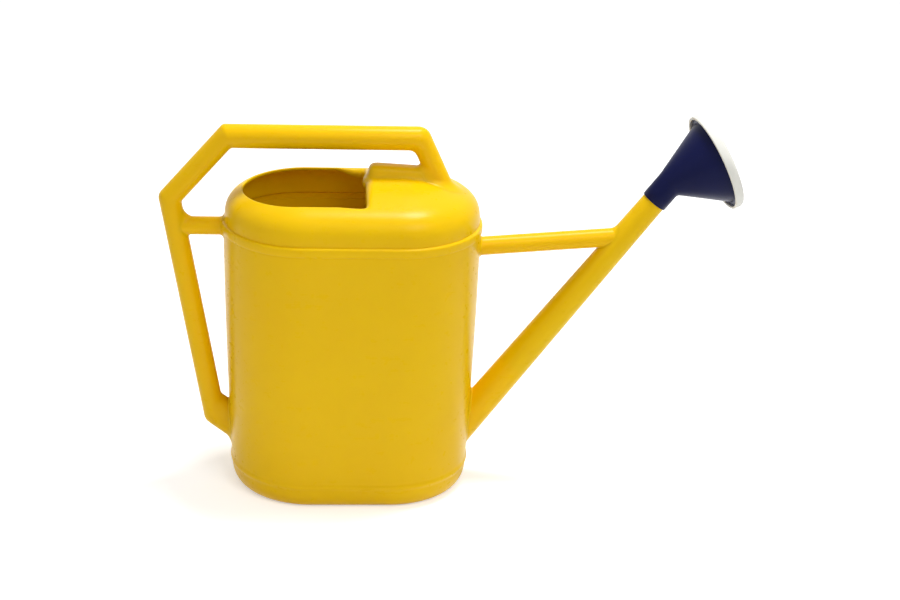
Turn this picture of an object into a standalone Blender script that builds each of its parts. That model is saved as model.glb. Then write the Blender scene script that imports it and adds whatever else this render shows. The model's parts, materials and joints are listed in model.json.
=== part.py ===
"""A ten litre garden watering can: a blow-moulded can with a bridge handle, a long
spout with a brace, and a push-on rose with a perforated plate.

Units are metres and +Z is up. The origin is the centre of the flat base, and the
spout points along +X. The can is one hollow moulding; it is divided here into
simple zones, each one object, with a fine gap between neighbours.
"""

import math

import bmesh
import bpy
from mathutils import Matrix, Vector

MM = 0.001

# Fits
ZONE_GAP = 0.3 * MM         # between two zones of the one moulding
SLEEVE_CLEARANCE = 0.3 * MM  # rose sleeve round the spout end
SKIRT_CLEARANCE = 0.3 * MM   # plate skirt round the cone's flange
OVERCUT = 4.0 * MM           # how far a cutter runs past what it cuts

# Can: every level has the plan of a stadium, straight sides with round ends
STRAIGHT = 93.0 * MM         # length of the straight sides
CAN_WALL = 2.0 * MM
SHOULDER_R = 84.0 * MM       # plan radius at the shoulder bead
SHOULDER_Z = 285.4 * MM      # top of the shoulder bead
BEAD_HEIGHT = 9.4 * MM
BEAD_DEPTH = 1.5 * MM
BEAD_TOP = 0.6 * MM          # the small step from the bead up to the dome
DOME_RISE = 48.1 * MM        # top of the dome above the shoulder bead
DECK_CROWN = 8.5 * MM        # the part of that rise that is the deck's own crown
DECK_CROWN_INSET = 22.0 * MM
WALL_BULGE = 1.1 * MM        # how far the wall swells at mid height
WALL_TAPER = 0.3 * MM        # the foot bead's radius is this much less
LENGTH_TAPER = 6.3 * MM      # each half of the straight side is this much less there
FOOT_BEAD_Z = 24.5 * MM
FOOT_INSET = 11.9 * MM       # the flat base inside the foot bead
CAN_STEPS = 62               # an odd number of half turns, so no point sits at x = 0
SHOULDER_ZONE_DROP = 5.0 * MM  # the shoulder zone starts this far below its bead

# Filling opening: a D, round at the back of the can and straight at the deck
RIM_WIDTH = 26.0 * MM        # shoulder left beside the opening
RIM_WIDTH_BACK = 20.5 * MM
OPENING_FRONT_X = 15.0 * MM
OPENING_CORNER_R = 12.0 * MM
COLLAR_DEPTH = 11.0 * MM     # the rim's inner lip

# Handle: a loop in the plane y = 0, placed from the can's back, front and top
TUBE_WALL = 2.0 * MM
TUBE_STEPS = 28
GRIP_LIFT = 37.5 * MM        # grip centre above the dome
GRIP_R = 12.0 * MM
GRIP_REAR_INSET = 6.1 * MM
GRIP_FRONT_INSET = 64.5 * MM
SLOPE_R = 11.0 * MM
STRUT_R = 10.9 * MM
REAR_CORNER_OUT = 50.8 * MM
REAR_CORNER_LIFT = 20.7 * MM  # above the shoulder bead
STRUT_FOOT_OUT = 11.9 * MM
STRUT_FOOT_Z = 79.5 * MM
FOOT_DEPTH = 22.5 * MM       # how far the foot's centre line runs into the can
FOOT_END_Z = 52.0 * MM
FOOT_END_R = 22.0 * MM
POST_R = 10.6 * MM
POST_LEAN = math.radians(25.7)
POST_DEPTH = 19.0 * MM       # how far the post's centre line runs below the dome top
BRIDGE_R = 9.3 * MM
BRIDGE_DROP = 8.4 * MM       # bridge centre below the shoulder bead
RIB_R = 11.0 * MM
RIB_SINK = 1.1 * MM          # rib centre below the top of the dome
RIB_SETBACK = 4.0 * MM       # from the opening's straight side

# Spout: a straight tapered tube in the plane y = 0
SPOUT_ANGLE = math.radians(53.5)
SPOUT_ROOT_INSET = 10.5 * MM  # root point behind the shoulder's front
SPOUT_ROOT_Z = 60.8 * MM
SPOUT_REACH = 329.0 * MM     # from the root point to the tip
SPOUT_RUN_IN = 32.0 * MM     # blank length inside the can, trimmed off
SPOUT_ROOT_R = 16.5 * MM
SPOUT_END_R = 12.0 * MM
SPOUT_WALL = 1.8 * MM
SPIGOT_LENGTH = 27.0 * MM    # the plain end that the sleeve turns on
SPOUT_STEPS = 32
BRACE_R = 9.6 * MM
BRACE_REACH = 261.2 * MM      # from the spout's root point to where the brace lands
BRACE_DEPTH = 12.5 * MM
BRACE_DROP = 28.1 * MM       # brace centre at the can, below the shoulder bead

# Rose: a bent funnel and a perforated plate, turned a little on the spout
ROSE_BEND_ANGLE = math.radians(31.0)  # between the sleeve and the cone
ROSE_TURN = math.radians(20.0)
SLEEVE_LENGTH = 23.0 * MM
SLEEVE_WALL = 1.3 * MM
CONE_SUNK = 0.3 * MM         # the cone starts this far inside the sleeve's outside
BALL_PROUD = 0.45 * MM       # the round bend stands this far proud of the sleeve
BALL_ROOM = 0.15 * MM        # and its inside is this much wider than the bore
BEND_TO_TIP = 1.4 * MM       # bend centre beyond the spout tip
CONE_LENGTH = 51.0 * MM      # from the bend to the flange
CONE_END_R = 43.2 * MM
CONE_WALL = 1.8 * MM
FLANGE_WIDTH = 4.6 * MM
FLANGE_THICK = 2.5 * MM
PLATE_THICK = 2.2 * MM
PLATE_CROWN = 4.5 * MM
SKIRT_WALL = 2.8 * MM
SKIRT_OVERLAP = 1.8 * MM     # skirt beyond the back of the flange
HOLE_R = 1.1 * MM
HOLE_RING_STEP = 8.4 * MM
HOLE_RINGS = 5
ROSE_STEPS = 48
BALL_STEPS = 46              # not the cone's count, so that no corners fall together

YELLOW = (0.86, 0.62, 0.01, 1.0)
NAVY = (0.012, 0.018, 0.11, 1.0)
WHITE = (0.83, 0.83, 0.80, 1.0)

def along(point, angle, distance):
    return (point[0] + distance * math.cos(angle), point[1] + distance * math.sin(angle))


def heading(start, end):
    return math.atan2(end[1] - start[1], end[0] - start[0])


def distance(start, end):
    return math.hypot(end[0] - start[0], end[1] - start[1])


def crossing(first, first_angle, second, second_angle):
    """Where two lines in the plane y = 0 meet."""
    across = math.sin(first_angle - second_angle)
    gap = (second[0] - first[0], second[1] - first[1])
    reach = gap[1] * math.cos(second_angle) - gap[0] * math.sin(second_angle)
    return along(first, first_angle, reach / across)


# Levels, faces and centre-line points that follow from the sizes above
CAN_FRONT_X = STRAIGHT / 2 + SHOULDER_R
CAN_BACK_X = -CAN_FRONT_X
DOME_TOP_Z = SHOULDER_Z + DOME_RISE
FOOT_BEAD_R = SHOULDER_R - WALL_TAPER
ZONE_SPLIT_Z = SHOULDER_Z - BEAD_HEIGHT - SHOULDER_ZONE_DROP
OPENING_R = SHOULDER_R - RIM_WIDTH
OPENING_CENTRE_X = CAN_BACK_X + RIM_WIDTH_BACK + OPENING_R
GRIP_Z = DOME_TOP_Z + GRIP_LIFT
GRIP_REAR = (CAN_BACK_X + GRIP_REAR_INSET, GRIP_Z)
GRIP_FRONT = (CAN_FRONT_X - GRIP_FRONT_INSET, GRIP_Z)
REAR_CORNER = (CAN_BACK_X - REAR_CORNER_OUT, SHOULDER_Z + REAR_CORNER_LIFT)
STRUT_FOOT = (CAN_BACK_X - STRUT_FOOT_OUT, STRUT_FOOT_Z)
FOOT_IN_CAN = (CAN_BACK_X + FOOT_DEPTH, FOOT_END_Z)
POST_WAY = -math.pi / 2 + POST_LEAN
POST_IN_DECK = crossing(GRIP_FRONT, POST_WAY, (0.0, DOME_TOP_Z - POST_DEPTH), 0.0)
BRIDGE_LEVEL = (CAN_BACK_X, SHOULDER_Z - BRIDGE_DROP)
BRIDGE_START = crossing(STRUT_FOOT, heading(STRUT_FOOT, REAR_CORNER), BRIDGE_LEVEL, 0.0)
RIB_START = (OPENING_FRONT_X + RIB_SETBACK, DOME_TOP_Z - RIB_SINK)
RIB_END = crossing(GRIP_FRONT, POST_WAY, RIB_START, 0.0)
SPOUT_ROOT = (CAN_FRONT_X - SPOUT_ROOT_INSET, SPOUT_ROOT_Z)
SPOUT_START = along(SPOUT_ROOT, SPOUT_ANGLE, -SPOUT_RUN_IN)
SPOUT_TIP = along(SPOUT_ROOT, SPOUT_ANGLE, SPOUT_REACH)
SPOUT_LENGTH = SPOUT_RUN_IN + SPOUT_REACH
BRACE_IN_CAN = (CAN_FRONT_X - BRACE_DEPTH, SHOULDER_Z - BRACE_DROP)
BRACE_IN_SPOUT = along(SPOUT_ROOT, SPOUT_ANGLE, BRACE_REACH)
ROSE_BEND = along(SPOUT_TIP, SPOUT_ANGLE, BEND_TO_TIP)
ROSE_ANGLE = SPOUT_ANGLE - ROSE_BEND_ANGLE
PLATE_SEAT = CONE_LENGTH + FLANGE_THICK + ZONE_GAP
FLANGE_R = CONE_END_R + FLANGE_WIDTH
SKIRT_IN_R = FLANGE_R + SKIRT_CLEARANCE
SKIRT_DEPTH = ZONE_GAP + FLANGE_THICK + SKIRT_OVERLAP
PLATE_R = SKIRT_IN_R + SKIRT_WALL


def clear_scene():
    for obj in list(bpy.data.objects):
        bpy.data.objects.remove(obj, do_unlink=True)


def new_collection(name):
    collection = bpy.data.collections.new(name)
    bpy.context.scene.collection.children.link(collection)
    return collection


def material(name, colour, roughness):
    made = bpy.data.materials.new(name)
    made.use_nodes = True
    shader = made.node_tree.nodes["Principled BSDF"]
    shader.inputs["Base Color"].default_value = colour
    shader.inputs["Roughness"].default_value = roughness
    return made


def mesh_object(name, mesh, collection):
    obj = bpy.data.objects.new(name, mesh)
    collection.objects.link(obj)
    return obj


def as_cutter(obj):
    obj.hide_render = True
    obj.display_type = "WIRE"
    return obj


def profile_mesh(name, points, closed):
    mesh = bpy.data.meshes.new(name)
    count = len(points)
    edges = [(i, i + 1) for i in range(count - 1)]
    if closed:
        edges.append((count - 1, 0))
    mesh.from_pydata([(r, 0.0, z) for r, z in points], edges, [])
    return mesh


def turned(name, points, steps, collection, closed=False):
    """A round solid: the profile (radius, height) is swept once about local Z."""
    obj = mesh_object(name, profile_mesh(name, points, closed), collection)
    screw = obj.modifiers.new("Turn", "SCREW")
    screw.axis = "Z"
    screw.angle = math.tau
    screw.screw_offset = 0.0
    screw.steps = steps
    screw.render_steps = steps
    screw.use_merge_vertices = True
    screw.merge_threshold = 0.00001
    screw.use_smooth_shade = True
    return obj


def frozen(obj):
    """The object's evaluated mesh in place of its modifiers."""
    bpy.context.view_layer.update()
    graph = bpy.context.evaluated_depsgraph_get()
    mesh = bpy.data.meshes.new_from_object(obj.evaluated_get(graph))
    obj.modifiers.clear()
    obj.data = mesh
    return obj


def half_straight(height):
    """Half of the straight side: full above the shoulder bead, least at the foot bead."""
    bead_low = SHOULDER_Z - BEAD_HEIGHT
    drop = (bead_low - height) / (bead_low - FOOT_BEAD_Z)
    return STRAIGHT / 2 - LENGTH_TAPER * min(1.0, max(0.0, drop))


def stretched(name, points, collection):
    """A turned solid pulled apart at x = 0, so that its plan is a stadium."""
    obj = frozen(turned(name, points, CAN_STEPS, collection))
    for vertex in obj.data.vertices:
        if abs(vertex.co.x) > 0.05 * MM:
            vertex.co.x += math.copysign(half_straight(vertex.co.z), vertex.co.x)
    return obj


def place(obj, point, angle):
    """Puts local Z along the direction at this angle above +X, in the plane y = 0."""
    turn = Matrix.Rotation(math.pi / 2 - angle, 4, "Y")
    obj.matrix_world = Matrix.Translation((point[0], 0.0, point[1])) @ turn
    return obj


def boolean(obj, other, operation="DIFFERENCE"):
    step = obj.modifiers.new(other.name, "BOOLEAN")
    step.operation = operation
    step.solver = "EXACT"
    step.object = other
    return obj


def box(name, low, high, collection):
    mesh = bpy.data.meshes.new(name)
    shape = bmesh.new()
    bmesh.ops.create_cube(shape, size=1.0)
    for vertex in shape.verts:
        for axis in range(3):
            middle = (low[axis] + high[axis]) / 2
            vertex.co[axis] = middle + vertex.co[axis] * (high[axis] - low[axis])
    shape.to_mesh(mesh)
    shape.free()
    return as_cutter(mesh_object(name, mesh, collection))


def half_space(name, point, angle, collection):
    """A large block lying on the far side of the plane through the point."""
    size = 0.25
    block = box(name, (-size, -size, 0.0), (size, size, size), collection)
    return place(block, point, angle)


def tube(name, start, end, radii, wall, steps, collection):
    """A straight hollow member, open at both ends."""
    length = distance(start, end)
    profile = [
        (radii[1], length),
        (radii[0], 0.0),
        (radii[0] - wall, 0.0),
        (radii[1] - wall, length),
    ]
    obj = turned(name, profile, steps, collection, closed=True)
    return place(obj, start, heading(start, end))


def rod(name, start, end, radii, steps, collection):
    length = distance(start, end)
    profile = [(0.0, length), (radii[1], length), (radii[0], 0.0), (0.0, 0.0)]
    obj = as_cutter(turned(name, profile, steps, collection))
    return place(obj, start, heading(start, end))


def inset(points, amount):
    """The outline moved towards its inside by this much, square to itself."""
    ways = []
    for start, end in zip(points, points[1:]):
        length = distance(start, end)
        ways.append(((end[1] - start[1]) / length, (start[0] - end[0]) / length))
    moved = [(0.0, points[0][1] - amount)]
    for point, first, second in zip(points[1:-1], ways, ways[1:]):
        share = amount / (1 + first[0] * second[0] + first[1] * second[1])
        across = point[0] + share * (first[0] + second[0])
        up = point[1] + share * (first[1] + second[1])
        moved.append((across, up))
    moved.append((0.0, points[-1][1] + amount))
    return moved


def dome_height(across):
    """Height of the dome at this distance from its middle: a full shoulder, then a crown."""
    share = min(1.0, across / (SHOULDER_R - BEAD_DEPTH))
    shoulder = (1 - share**3) ** (1 / 3)
    crown = max(0.0, 1 - (across / (SHOULDER_R - DECK_CROWN_INSET)) ** 2) ** 2
    low = SHOULDER_Z + BEAD_TOP
    return low + (DOME_TOP_Z - low - DECK_CROWN) * shoulder + DECK_CROWN * crown


def can_profile():
    """The can's outline, as (radius, height), from the top centre to the base centre."""
    dome_r = SHOULDER_R - BEAD_DEPTH
    points = []
    for share in (0, 0.12, 0.25, 0.38, 0.5, 0.6, 0.7, 0.79, 0.87, 0.93, 0.972, 0.994, 1):
        points.append((dome_r * share, dome_height(dome_r * share)))
    bead_low = SHOULDER_Z - BEAD_HEIGHT
    points += [
        (SHOULDER_R, SHOULDER_Z - 0.4 * MM),
        (SHOULDER_R, bead_low + 1.5 * MM),
        (SHOULDER_R - 1.4 * MM, bead_low),
    ]
    high = (SHOULDER_R - 1.4 * MM, bead_low)
    low = (FOOT_BEAD_R - 1.1 * MM, FOOT_BEAD_Z + 5.5 * MM)
    for share in (0.25, 0.5, 0.75):
        across = high[0] + share * (low[0] - high[0])
        bulge = 4 * WALL_BULGE * share * (1 - share)
        points.append((across + bulge, high[1] + share * (low[1] - high[1])))
    points += [
        (FOOT_BEAD_R - 1.1 * MM, FOOT_BEAD_Z + 5.5 * MM),
        (FOOT_BEAD_R, FOOT_BEAD_Z + 2.0 * MM),
        (FOOT_BEAD_R, FOOT_BEAD_Z - 2.0 * MM),
        (FOOT_BEAD_R - 1.3 * MM, FOOT_BEAD_Z - 5.0 * MM),
        (FOOT_BEAD_R - FOOT_INSET * 0.18, FOOT_BEAD_Z * 0.53),
        (FOOT_BEAD_R - FOOT_INSET * 0.37, FOOT_BEAD_Z * 0.285),
        (FOOT_BEAD_R - FOOT_INSET * 0.66, FOOT_BEAD_Z * 0.1),
        (FOOT_BEAD_R - FOOT_INSET, 0.0),
        (0.0, 0.0),
    ]
    return points


def opening_outline(grow):
    """The D of the filling opening, as a closed list of (x, y)."""
    radius = OPENING_R + grow
    front = OPENING_FRONT_X + grow
    corner = OPENING_CORNER_R + grow
    points = []
    for step in range(33):
        turn = math.radians(90 + 180 * step / 32)
        points.append(
            (OPENING_CENTRE_X + radius * math.cos(turn), radius * math.sin(turn))
        )
    for side in (-1, 1):
        for step in range(7):
            turn = math.radians(90 * step / 6)
            if side > 0:
                turn = math.pi / 2 - turn
            across = radius - corner + corner * math.cos(turn)
            points.append((front - corner + corner * math.sin(turn), side * across))
    return points


def prism(name, outline, low, high, collection):
    mesh = bpy.data.meshes.new(name)
    shape = bmesh.new()
    face = shape.faces.new([shape.verts.new((x, y, low)) for x, y in outline])
    lifted = bmesh.ops.extrude_face_region(shape, geom=[face])["geom"]
    for item in lifted:
        if isinstance(item, bmesh.types.BMVert):
            item.co.z = high
    bmesh.ops.recalc_face_normals(shape, faces=shape.faces[:])
    shape.to_mesh(mesh)
    shape.free()
    return as_cutter(mesh_object(name, mesh, collection))


def can_inside(cutters):
    """The hollow of the can, less the collar that hangs round the opening."""
    inside = as_cutter(stretched("cut_inside", inset(can_profile(), CAN_WALL), cutters))
    top = DOME_TOP_Z + OVERCUT
    rim_z = dome_height(OPENING_R)
    collar = prism(
        "cut_collar", opening_outline(CAN_WALL), rim_z - COLLAR_DEPTH, top, cutters
    )
    return boolean(inside, collar)


def can_zones(parts, cutters):
    outside = can_profile()
    body = stretched("tank_body", outside, parts)
    shoulder = stretched("tank_shoulder", outside, parts)
    inside = can_inside(cutters)
    top = DOME_TOP_Z + OVERCUT
    low = ZONE_SPLIT_Z
    mouth = prism("cut_mouth", opening_outline(0.0), low, top, cutters)
    reach = STRAIGHT + SHOULDER_R
    upper = box(
        "cut_upper",
        (-reach, -reach, ZONE_SPLIT_Z - ZONE_GAP / 2),
        (reach, reach, top + OVERCUT),
        cutters,
    )
    lower = box(
        "cut_lower",
        (-reach, -reach, -OVERCUT),
        (reach, reach, ZONE_SPLIT_Z + ZONE_GAP / 2),
        cutters,
    )
    bore = rod(
        "cut_bore",
        SPOUT_START,
        SPOUT_TIP,
        (SPOUT_ROOT_R - SPOUT_WALL, SPOUT_END_R - SPOUT_WALL),
        SPOUT_STEPS,
        cutters,
    )
    boolean(boolean(boolean(body, inside), upper), bore)
    boolean(boolean(boolean(shoulder, inside), mouth), lower)
    return body, shoulder


def handle_zones(parts, cutters, envelope):
    """The loop: grip, rear slope, rear strut, foot, bridge and front post."""
    half = ZONE_GAP / 2
    lengths = OVERCUT * 5
    grip_out = along(GRIP_REAR, math.pi, lengths)
    grip_in = along(GRIP_FRONT, 0.0, lengths)
    grip = tube("handle_grip", grip_out, grip_in, (GRIP_R, GRIP_R), TUBE_WALL, TUBE_STEPS, parts)

    slope_way = heading(REAR_CORNER, GRIP_REAR)
    slope = tube(
        "handle_rear_slope",
        along(REAR_CORNER, slope_way, -lengths),
        along(GRIP_REAR, slope_way, lengths),
        (SLOPE_R, GRIP_R - 0.2 * MM),
        TUBE_WALL,
        TUBE_STEPS,
        parts,
    )
    strut_way = heading(STRUT_FOOT, REAR_CORNER)
    strut = tube(
        "handle_rear_strut",
        along(STRUT_FOOT, strut_way, -lengths),
        along(REAR_CORNER, strut_way, lengths),
        (STRUT_R, STRUT_R),
        TUBE_WALL,
        TUBE_STEPS,
        parts,
    )
    foot_way = heading(FOOT_IN_CAN, STRUT_FOOT)
    foot = tube(
        "handle_foot",
        FOOT_IN_CAN,
        along(STRUT_FOOT, foot_way, lengths),
        (FOOT_END_R, STRUT_R - 4.0 * MM),
        TUBE_WALL,
        TUBE_STEPS,
        parts,
    )
    post = tube(
        "handle_front_post",
        along(GRIP_FRONT, POST_WAY, -lengths),
        POST_IN_DECK,
        (POST_R, POST_R),
        TUBE_WALL,
        TUBE_STEPS,
        parts,
    )

    mitre(grip, slope, "cut_rear_top", GRIP_REAR, math.pi, slope_way + math.pi, half, cutters)
    mitre(slope, strut, "cut_rear_low", REAR_CORNER, slope_way + math.pi, strut_way + math.pi, half, cutters)
    mitre(strut, foot, "cut_foot", STRUT_FOOT, strut_way + math.pi, foot_way + math.pi, half, cutters)
    mitre(grip, post, "cut_front", GRIP_FRONT, 0.0, POST_WAY, half, cutters)
    boolean(foot, envelope)
    boolean(post, envelope)

    strut_rod = rod(
        "cut_strut",
        STRUT_FOOT,
        REAR_CORNER,
        (STRUT_R + ZONE_GAP, STRUT_R + ZONE_GAP),
        TUBE_STEPS,
        cutters,
    )
    bridge = tube(
        "handle_bridge",
        BRIDGE_START,
        along(BRIDGE_LEVEL, 0.0, OVERCUT * 2),
        (BRIDGE_R, BRIDGE_R),
        TUBE_WALL,
        TUBE_STEPS,
        parts,
    )
    boolean(boolean(bridge, strut_rod), envelope)


def mitre(first, second, name, point, first_way, second_way, half, cutters):
    """Cuts two members, running on through the point, along their bisecting plane."""
    middle = math.atan2(
        math.sin(first_way) + math.sin(second_way),
        math.cos(first_way) + math.cos(second_way),
    )
    beyond = half_space(name + "_a", along(point, middle, -half), middle, cutters)
    before = half_space(name + "_b", along(point, middle, half), middle + math.pi, cutters)
    boolean(first, beyond)
    boolean(second, before)


def deck_rib(parts, cutters, envelope):
    """The raised spine of the deck, with a round nose at the opening."""
    length = RIB_END[0] - RIB_START[0]
    profile = [(0.0, length), (RIB_R, length)]
    for step in range(7):
        turn = math.radians(90 * step / 6)
        profile.append((RIB_R * math.cos(turn), RIB_R * (1 - math.sin(turn))))
    profile[-1] = (0.0, 0.0)
    rib = turned("deck_rib", profile, TUBE_STEPS, parts)
    place(rib, RIB_START, 0.0)
    reach = POST_R + ZONE_GAP
    post_rod = rod(
        "cut_post",
        along(GRIP_FRONT, POST_WAY, -OVERCUT),
        along(POST_IN_DECK, POST_WAY, OVERCUT * 3),
        (reach, reach),
        TUBE_STEPS,
        cutters,
    )
    boolean(boolean(rib, envelope), post_rod)
    return rib


def spout_zones(parts, cutters, envelope):
    spigot = SPOUT_LENGTH - SPIGOT_LENGTH
    spout_profile = [
        (SPOUT_END_R, SPOUT_LENGTH),
        (SPOUT_END_R, spigot),
        (SPOUT_ROOT_R, 0.0),
        (SPOUT_ROOT_R - SPOUT_WALL, 0.0),
        (SPOUT_END_R - SPOUT_WALL, spigot),
        (SPOUT_END_R - SPOUT_WALL, SPOUT_LENGTH),
    ]
    spout = turned("spout_tube", spout_profile, SPOUT_STEPS, parts, closed=True)
    boolean(place(spout, SPOUT_START, SPOUT_ANGLE), envelope)

    spout_rod = rod(
        "cut_spout",
        SPOUT_START,
        along(SPOUT_START, SPOUT_ANGLE, spigot),
        (SPOUT_ROOT_R + ZONE_GAP, SPOUT_END_R + ZONE_GAP),
        SPOUT_STEPS,
        cutters,
    )
    brace = tube(
        "spout_brace",
        BRACE_IN_CAN,
        BRACE_IN_SPOUT,
        (BRACE_R, BRACE_R),
        TUBE_WALL,
        TUBE_STEPS,
        parts,
    )
    boolean(boolean(brace, spout_rod), envelope)


def ball(name, radius, steps, collection):
    profile = []
    for step in range(13):
        turn = math.radians(180 * step / 12)
        profile.append((radius * math.sin(turn), radius * math.cos(turn)))
    profile[0] = (0.0, radius)
    profile[-1] = (0.0, -radius)
    return as_cutter(turned(name, profile, steps, collection))


def place_on_rose(obj, reach):
    """Puts local Z along the cone's axis, this far beyond the bend."""
    spout_axis = Vector((math.cos(SPOUT_ANGLE), 0.0, math.sin(SPOUT_ANGLE)))
    turn = Matrix.Rotation(ROSE_TURN, 4, spout_axis)
    lean = Matrix.Rotation(math.pi / 2 - ROSE_ANGLE, 4, "Y")
    bend = Matrix.Translation((ROSE_BEND[0], 0.0, ROSE_BEND[1]))
    obj.matrix_world = bend @ turn @ lean @ Matrix.Translation((0.0, 0.0, reach))
    return obj


def rose_cone(parts, cutters):
    """The bent funnel: sleeve, bend, cone and flange. Its origin is on the spout's axis."""
    sleeve_in = SPOUT_END_R + SLEEVE_CLEARANCE
    sleeve_out = sleeve_in + SLEEVE_WALL
    face = CONE_LENGTH + FLANGE_THICK
    slant = CONE_WALL * math.hypot(CONE_LENGTH, CONE_END_R - sleeve_out) / CONE_LENGTH
    outer_profile = [
        (0.0, face),
        (FLANGE_R, face),
        (FLANGE_R, CONE_LENGTH),
        (CONE_END_R, CONE_LENGTH),
        (sleeve_out - CONE_SUNK, 0.5 * MM),
        (0.0, 0.5 * MM),
    ]
    inner_profile = [
        (0.0, face + OVERCUT),
        (CONE_END_R - slant, face + OVERCUT),
        (CONE_END_R - slant, CONE_LENGTH),
        (sleeve_in - 0.4 * MM, 0.0),
        (0.0, 0.0),
    ]
    start = along(ROSE_BEND, SPOUT_ANGLE, -SLEEVE_LENGTH)
    sleeve_profile = [
        (0.0, SLEEVE_LENGTH),
        (sleeve_out, SLEEVE_LENGTH),
        (sleeve_out, 0.0),
        (0.0, 0.0),
    ]
    cone = turned("rose_cone", sleeve_profile, ROSE_STEPS, parts)
    place(cone, start, SPOUT_ANGLE)
    outer_ball = ball("add_ball", sleeve_out + BALL_PROUD, BALL_STEPS, cutters)
    place_on_rose(outer_ball, 0.0)
    outer_cone = as_cutter(turned("add_cone", outer_profile, ROSE_STEPS, cutters))
    place_on_rose(outer_cone, 0.0)
    inner_cone = as_cutter(turned("cut_cone", inner_profile, ROSE_STEPS, cutters))
    place_on_rose(inner_cone, 0.0)
    inner_ball = ball("cut_ball", sleeve_in + BALL_ROOM, BALL_STEPS, cutters)
    place_on_rose(inner_ball, 0.0)
    inner_sleeve = rod(
        "cut_sleeve",
        along(start, SPOUT_ANGLE, -OVERCUT),
        ROSE_BEND,
        (sleeve_in, sleeve_in),
        ROSE_STEPS,
        cutters,
    )
    boolean(cone, outer_ball, "UNION")
    boolean(cone, outer_cone, "UNION")
    boolean(cone, inner_sleeve)
    boolean(cone, inner_ball)
    boolean(cone, inner_cone)
    return cone


def hole_cutters(cutters):
    """One mesh of small pins, in rings of 1, 6, 12 and so on."""
    mesh = bpy.data.meshes.new("cut_holes")
    shape = bmesh.new()
    for ring in range(HOLE_RINGS):
        count = max(1, 6 * ring)
        for step in range(count):
            turn = math.tau * step / count
            radius = HOLE_RING_STEP * ring
            where = Matrix.Translation(
                (radius * math.cos(turn), radius * math.sin(turn), PLATE_THICK)
            )
            bmesh.ops.create_cone(
                shape,
                cap_ends=True,
                segments=8,
                radius1=HOLE_R,
                radius2=HOLE_R,
                depth=4 * (PLATE_THICK + PLATE_CROWN),
                matrix=where,
            )
    bmesh.ops.recalc_face_normals(shape, faces=shape.faces[:])
    shape.to_mesh(mesh)
    shape.free()
    return as_cutter(mesh_object("cut_holes", mesh, cutters))


def rose_plate(parts, cutters):
    """The perforated, crowned cap over the flange: its origin is its seat's centre."""
    bowl = CONE_END_R - CONE_WALL
    profile = [
        (0.0, PLATE_THICK + PLATE_CROWN),
        (bowl * 0.5, PLATE_THICK + PLATE_CROWN * 0.75),
        (bowl, PLATE_THICK),
        (PLATE_R - 2.0 * MM, PLATE_THICK),
        (PLATE_R - 0.6 * MM, PLATE_THICK - 0.6 * MM),
        (PLATE_R, PLATE_THICK - 1.9 * MM),
        (PLATE_R, 0.8 * MM - SKIRT_DEPTH),
        (PLATE_R - 0.8 * MM, -SKIRT_DEPTH),
        (SKIRT_IN_R, -SKIRT_DEPTH),
        (SKIRT_IN_R, 0.0),
        (bowl, 0.0),
        (bowl * 0.5, PLATE_CROWN * 0.75),
        (0.0, PLATE_CROWN),
    ]
    plate = turned("rose_plate", profile, ROSE_STEPS, parts)
    place_on_rose(plate, PLATE_SEAT)
    return boolean(plate, place_on_rose(hole_cutters(cutters), PLATE_SEAT))


def paint(parts):
    colours = {"rose_cone": (NAVY, 0.42), "rose_plate": (WHITE, 0.45)}
    for obj in parts.objects:
        colour, roughness = colours.get(obj.name, (YELLOW, 0.38))
        obj.data.materials.append(material(obj.name + "_plastic", colour, roughness))


def main():
    clear_scene()
    parts = new_collection("watering_can")
    cutters = new_collection("cutters")
    can_zones(parts, cutters)
    envelope = as_cutter(stretched("cut_envelope", inset(can_profile(), -ZONE_GAP), cutters))
    handle_zones(parts, cutters, envelope)
    deck_rib(parts, cutters, envelope)
    spout_zones(parts, cutters, envelope)
    rose_cone(parts, cutters)
    rose_plate(parts, cutters)
    paint(parts)


main()
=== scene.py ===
"""The finished surfaces of a ten litre garden watering can, made round its packed model.

Lengths are metres, +Z is up, and +X points along the spout. The can, its handle and
its spout are one moulding, so each tube ends in a fillet that runs out on the skin
it meets. Each shape is a function of two parameters, worked out on whole arrays.
"""

import json
import math

import bmesh
import bpy
import numpy as np
from bpy.props import FloatProperty, FloatVectorProperty, IntProperty, PointerProperty
from bpy.types import Operator, Panel, PropertyGroup
from mathutils import Matrix, Vector


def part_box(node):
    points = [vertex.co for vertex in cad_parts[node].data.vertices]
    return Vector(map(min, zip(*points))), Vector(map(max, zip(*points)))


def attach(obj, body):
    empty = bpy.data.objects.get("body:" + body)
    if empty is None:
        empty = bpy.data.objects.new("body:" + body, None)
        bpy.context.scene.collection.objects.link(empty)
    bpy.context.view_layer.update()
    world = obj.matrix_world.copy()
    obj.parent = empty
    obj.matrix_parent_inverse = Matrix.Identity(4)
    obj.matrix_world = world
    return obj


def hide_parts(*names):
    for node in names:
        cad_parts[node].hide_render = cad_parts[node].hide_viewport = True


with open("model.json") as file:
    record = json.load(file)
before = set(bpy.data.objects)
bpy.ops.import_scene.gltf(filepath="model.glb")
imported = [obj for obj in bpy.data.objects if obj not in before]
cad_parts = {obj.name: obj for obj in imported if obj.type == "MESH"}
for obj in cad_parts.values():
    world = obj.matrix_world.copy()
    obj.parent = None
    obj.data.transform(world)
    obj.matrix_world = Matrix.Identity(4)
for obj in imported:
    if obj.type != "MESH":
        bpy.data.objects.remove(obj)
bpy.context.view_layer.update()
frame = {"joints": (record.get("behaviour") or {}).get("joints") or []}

bl_info = {
    "name": "Watering Can",
    "version": (1, 0, 0),
    "blender": (4, 5, 0),
    "location": "View3D > Sidebar > Watering Can",
    "description": "Builds the finished surfaces of a garden watering can",
    "category": "Add Mesh",
}

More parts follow.
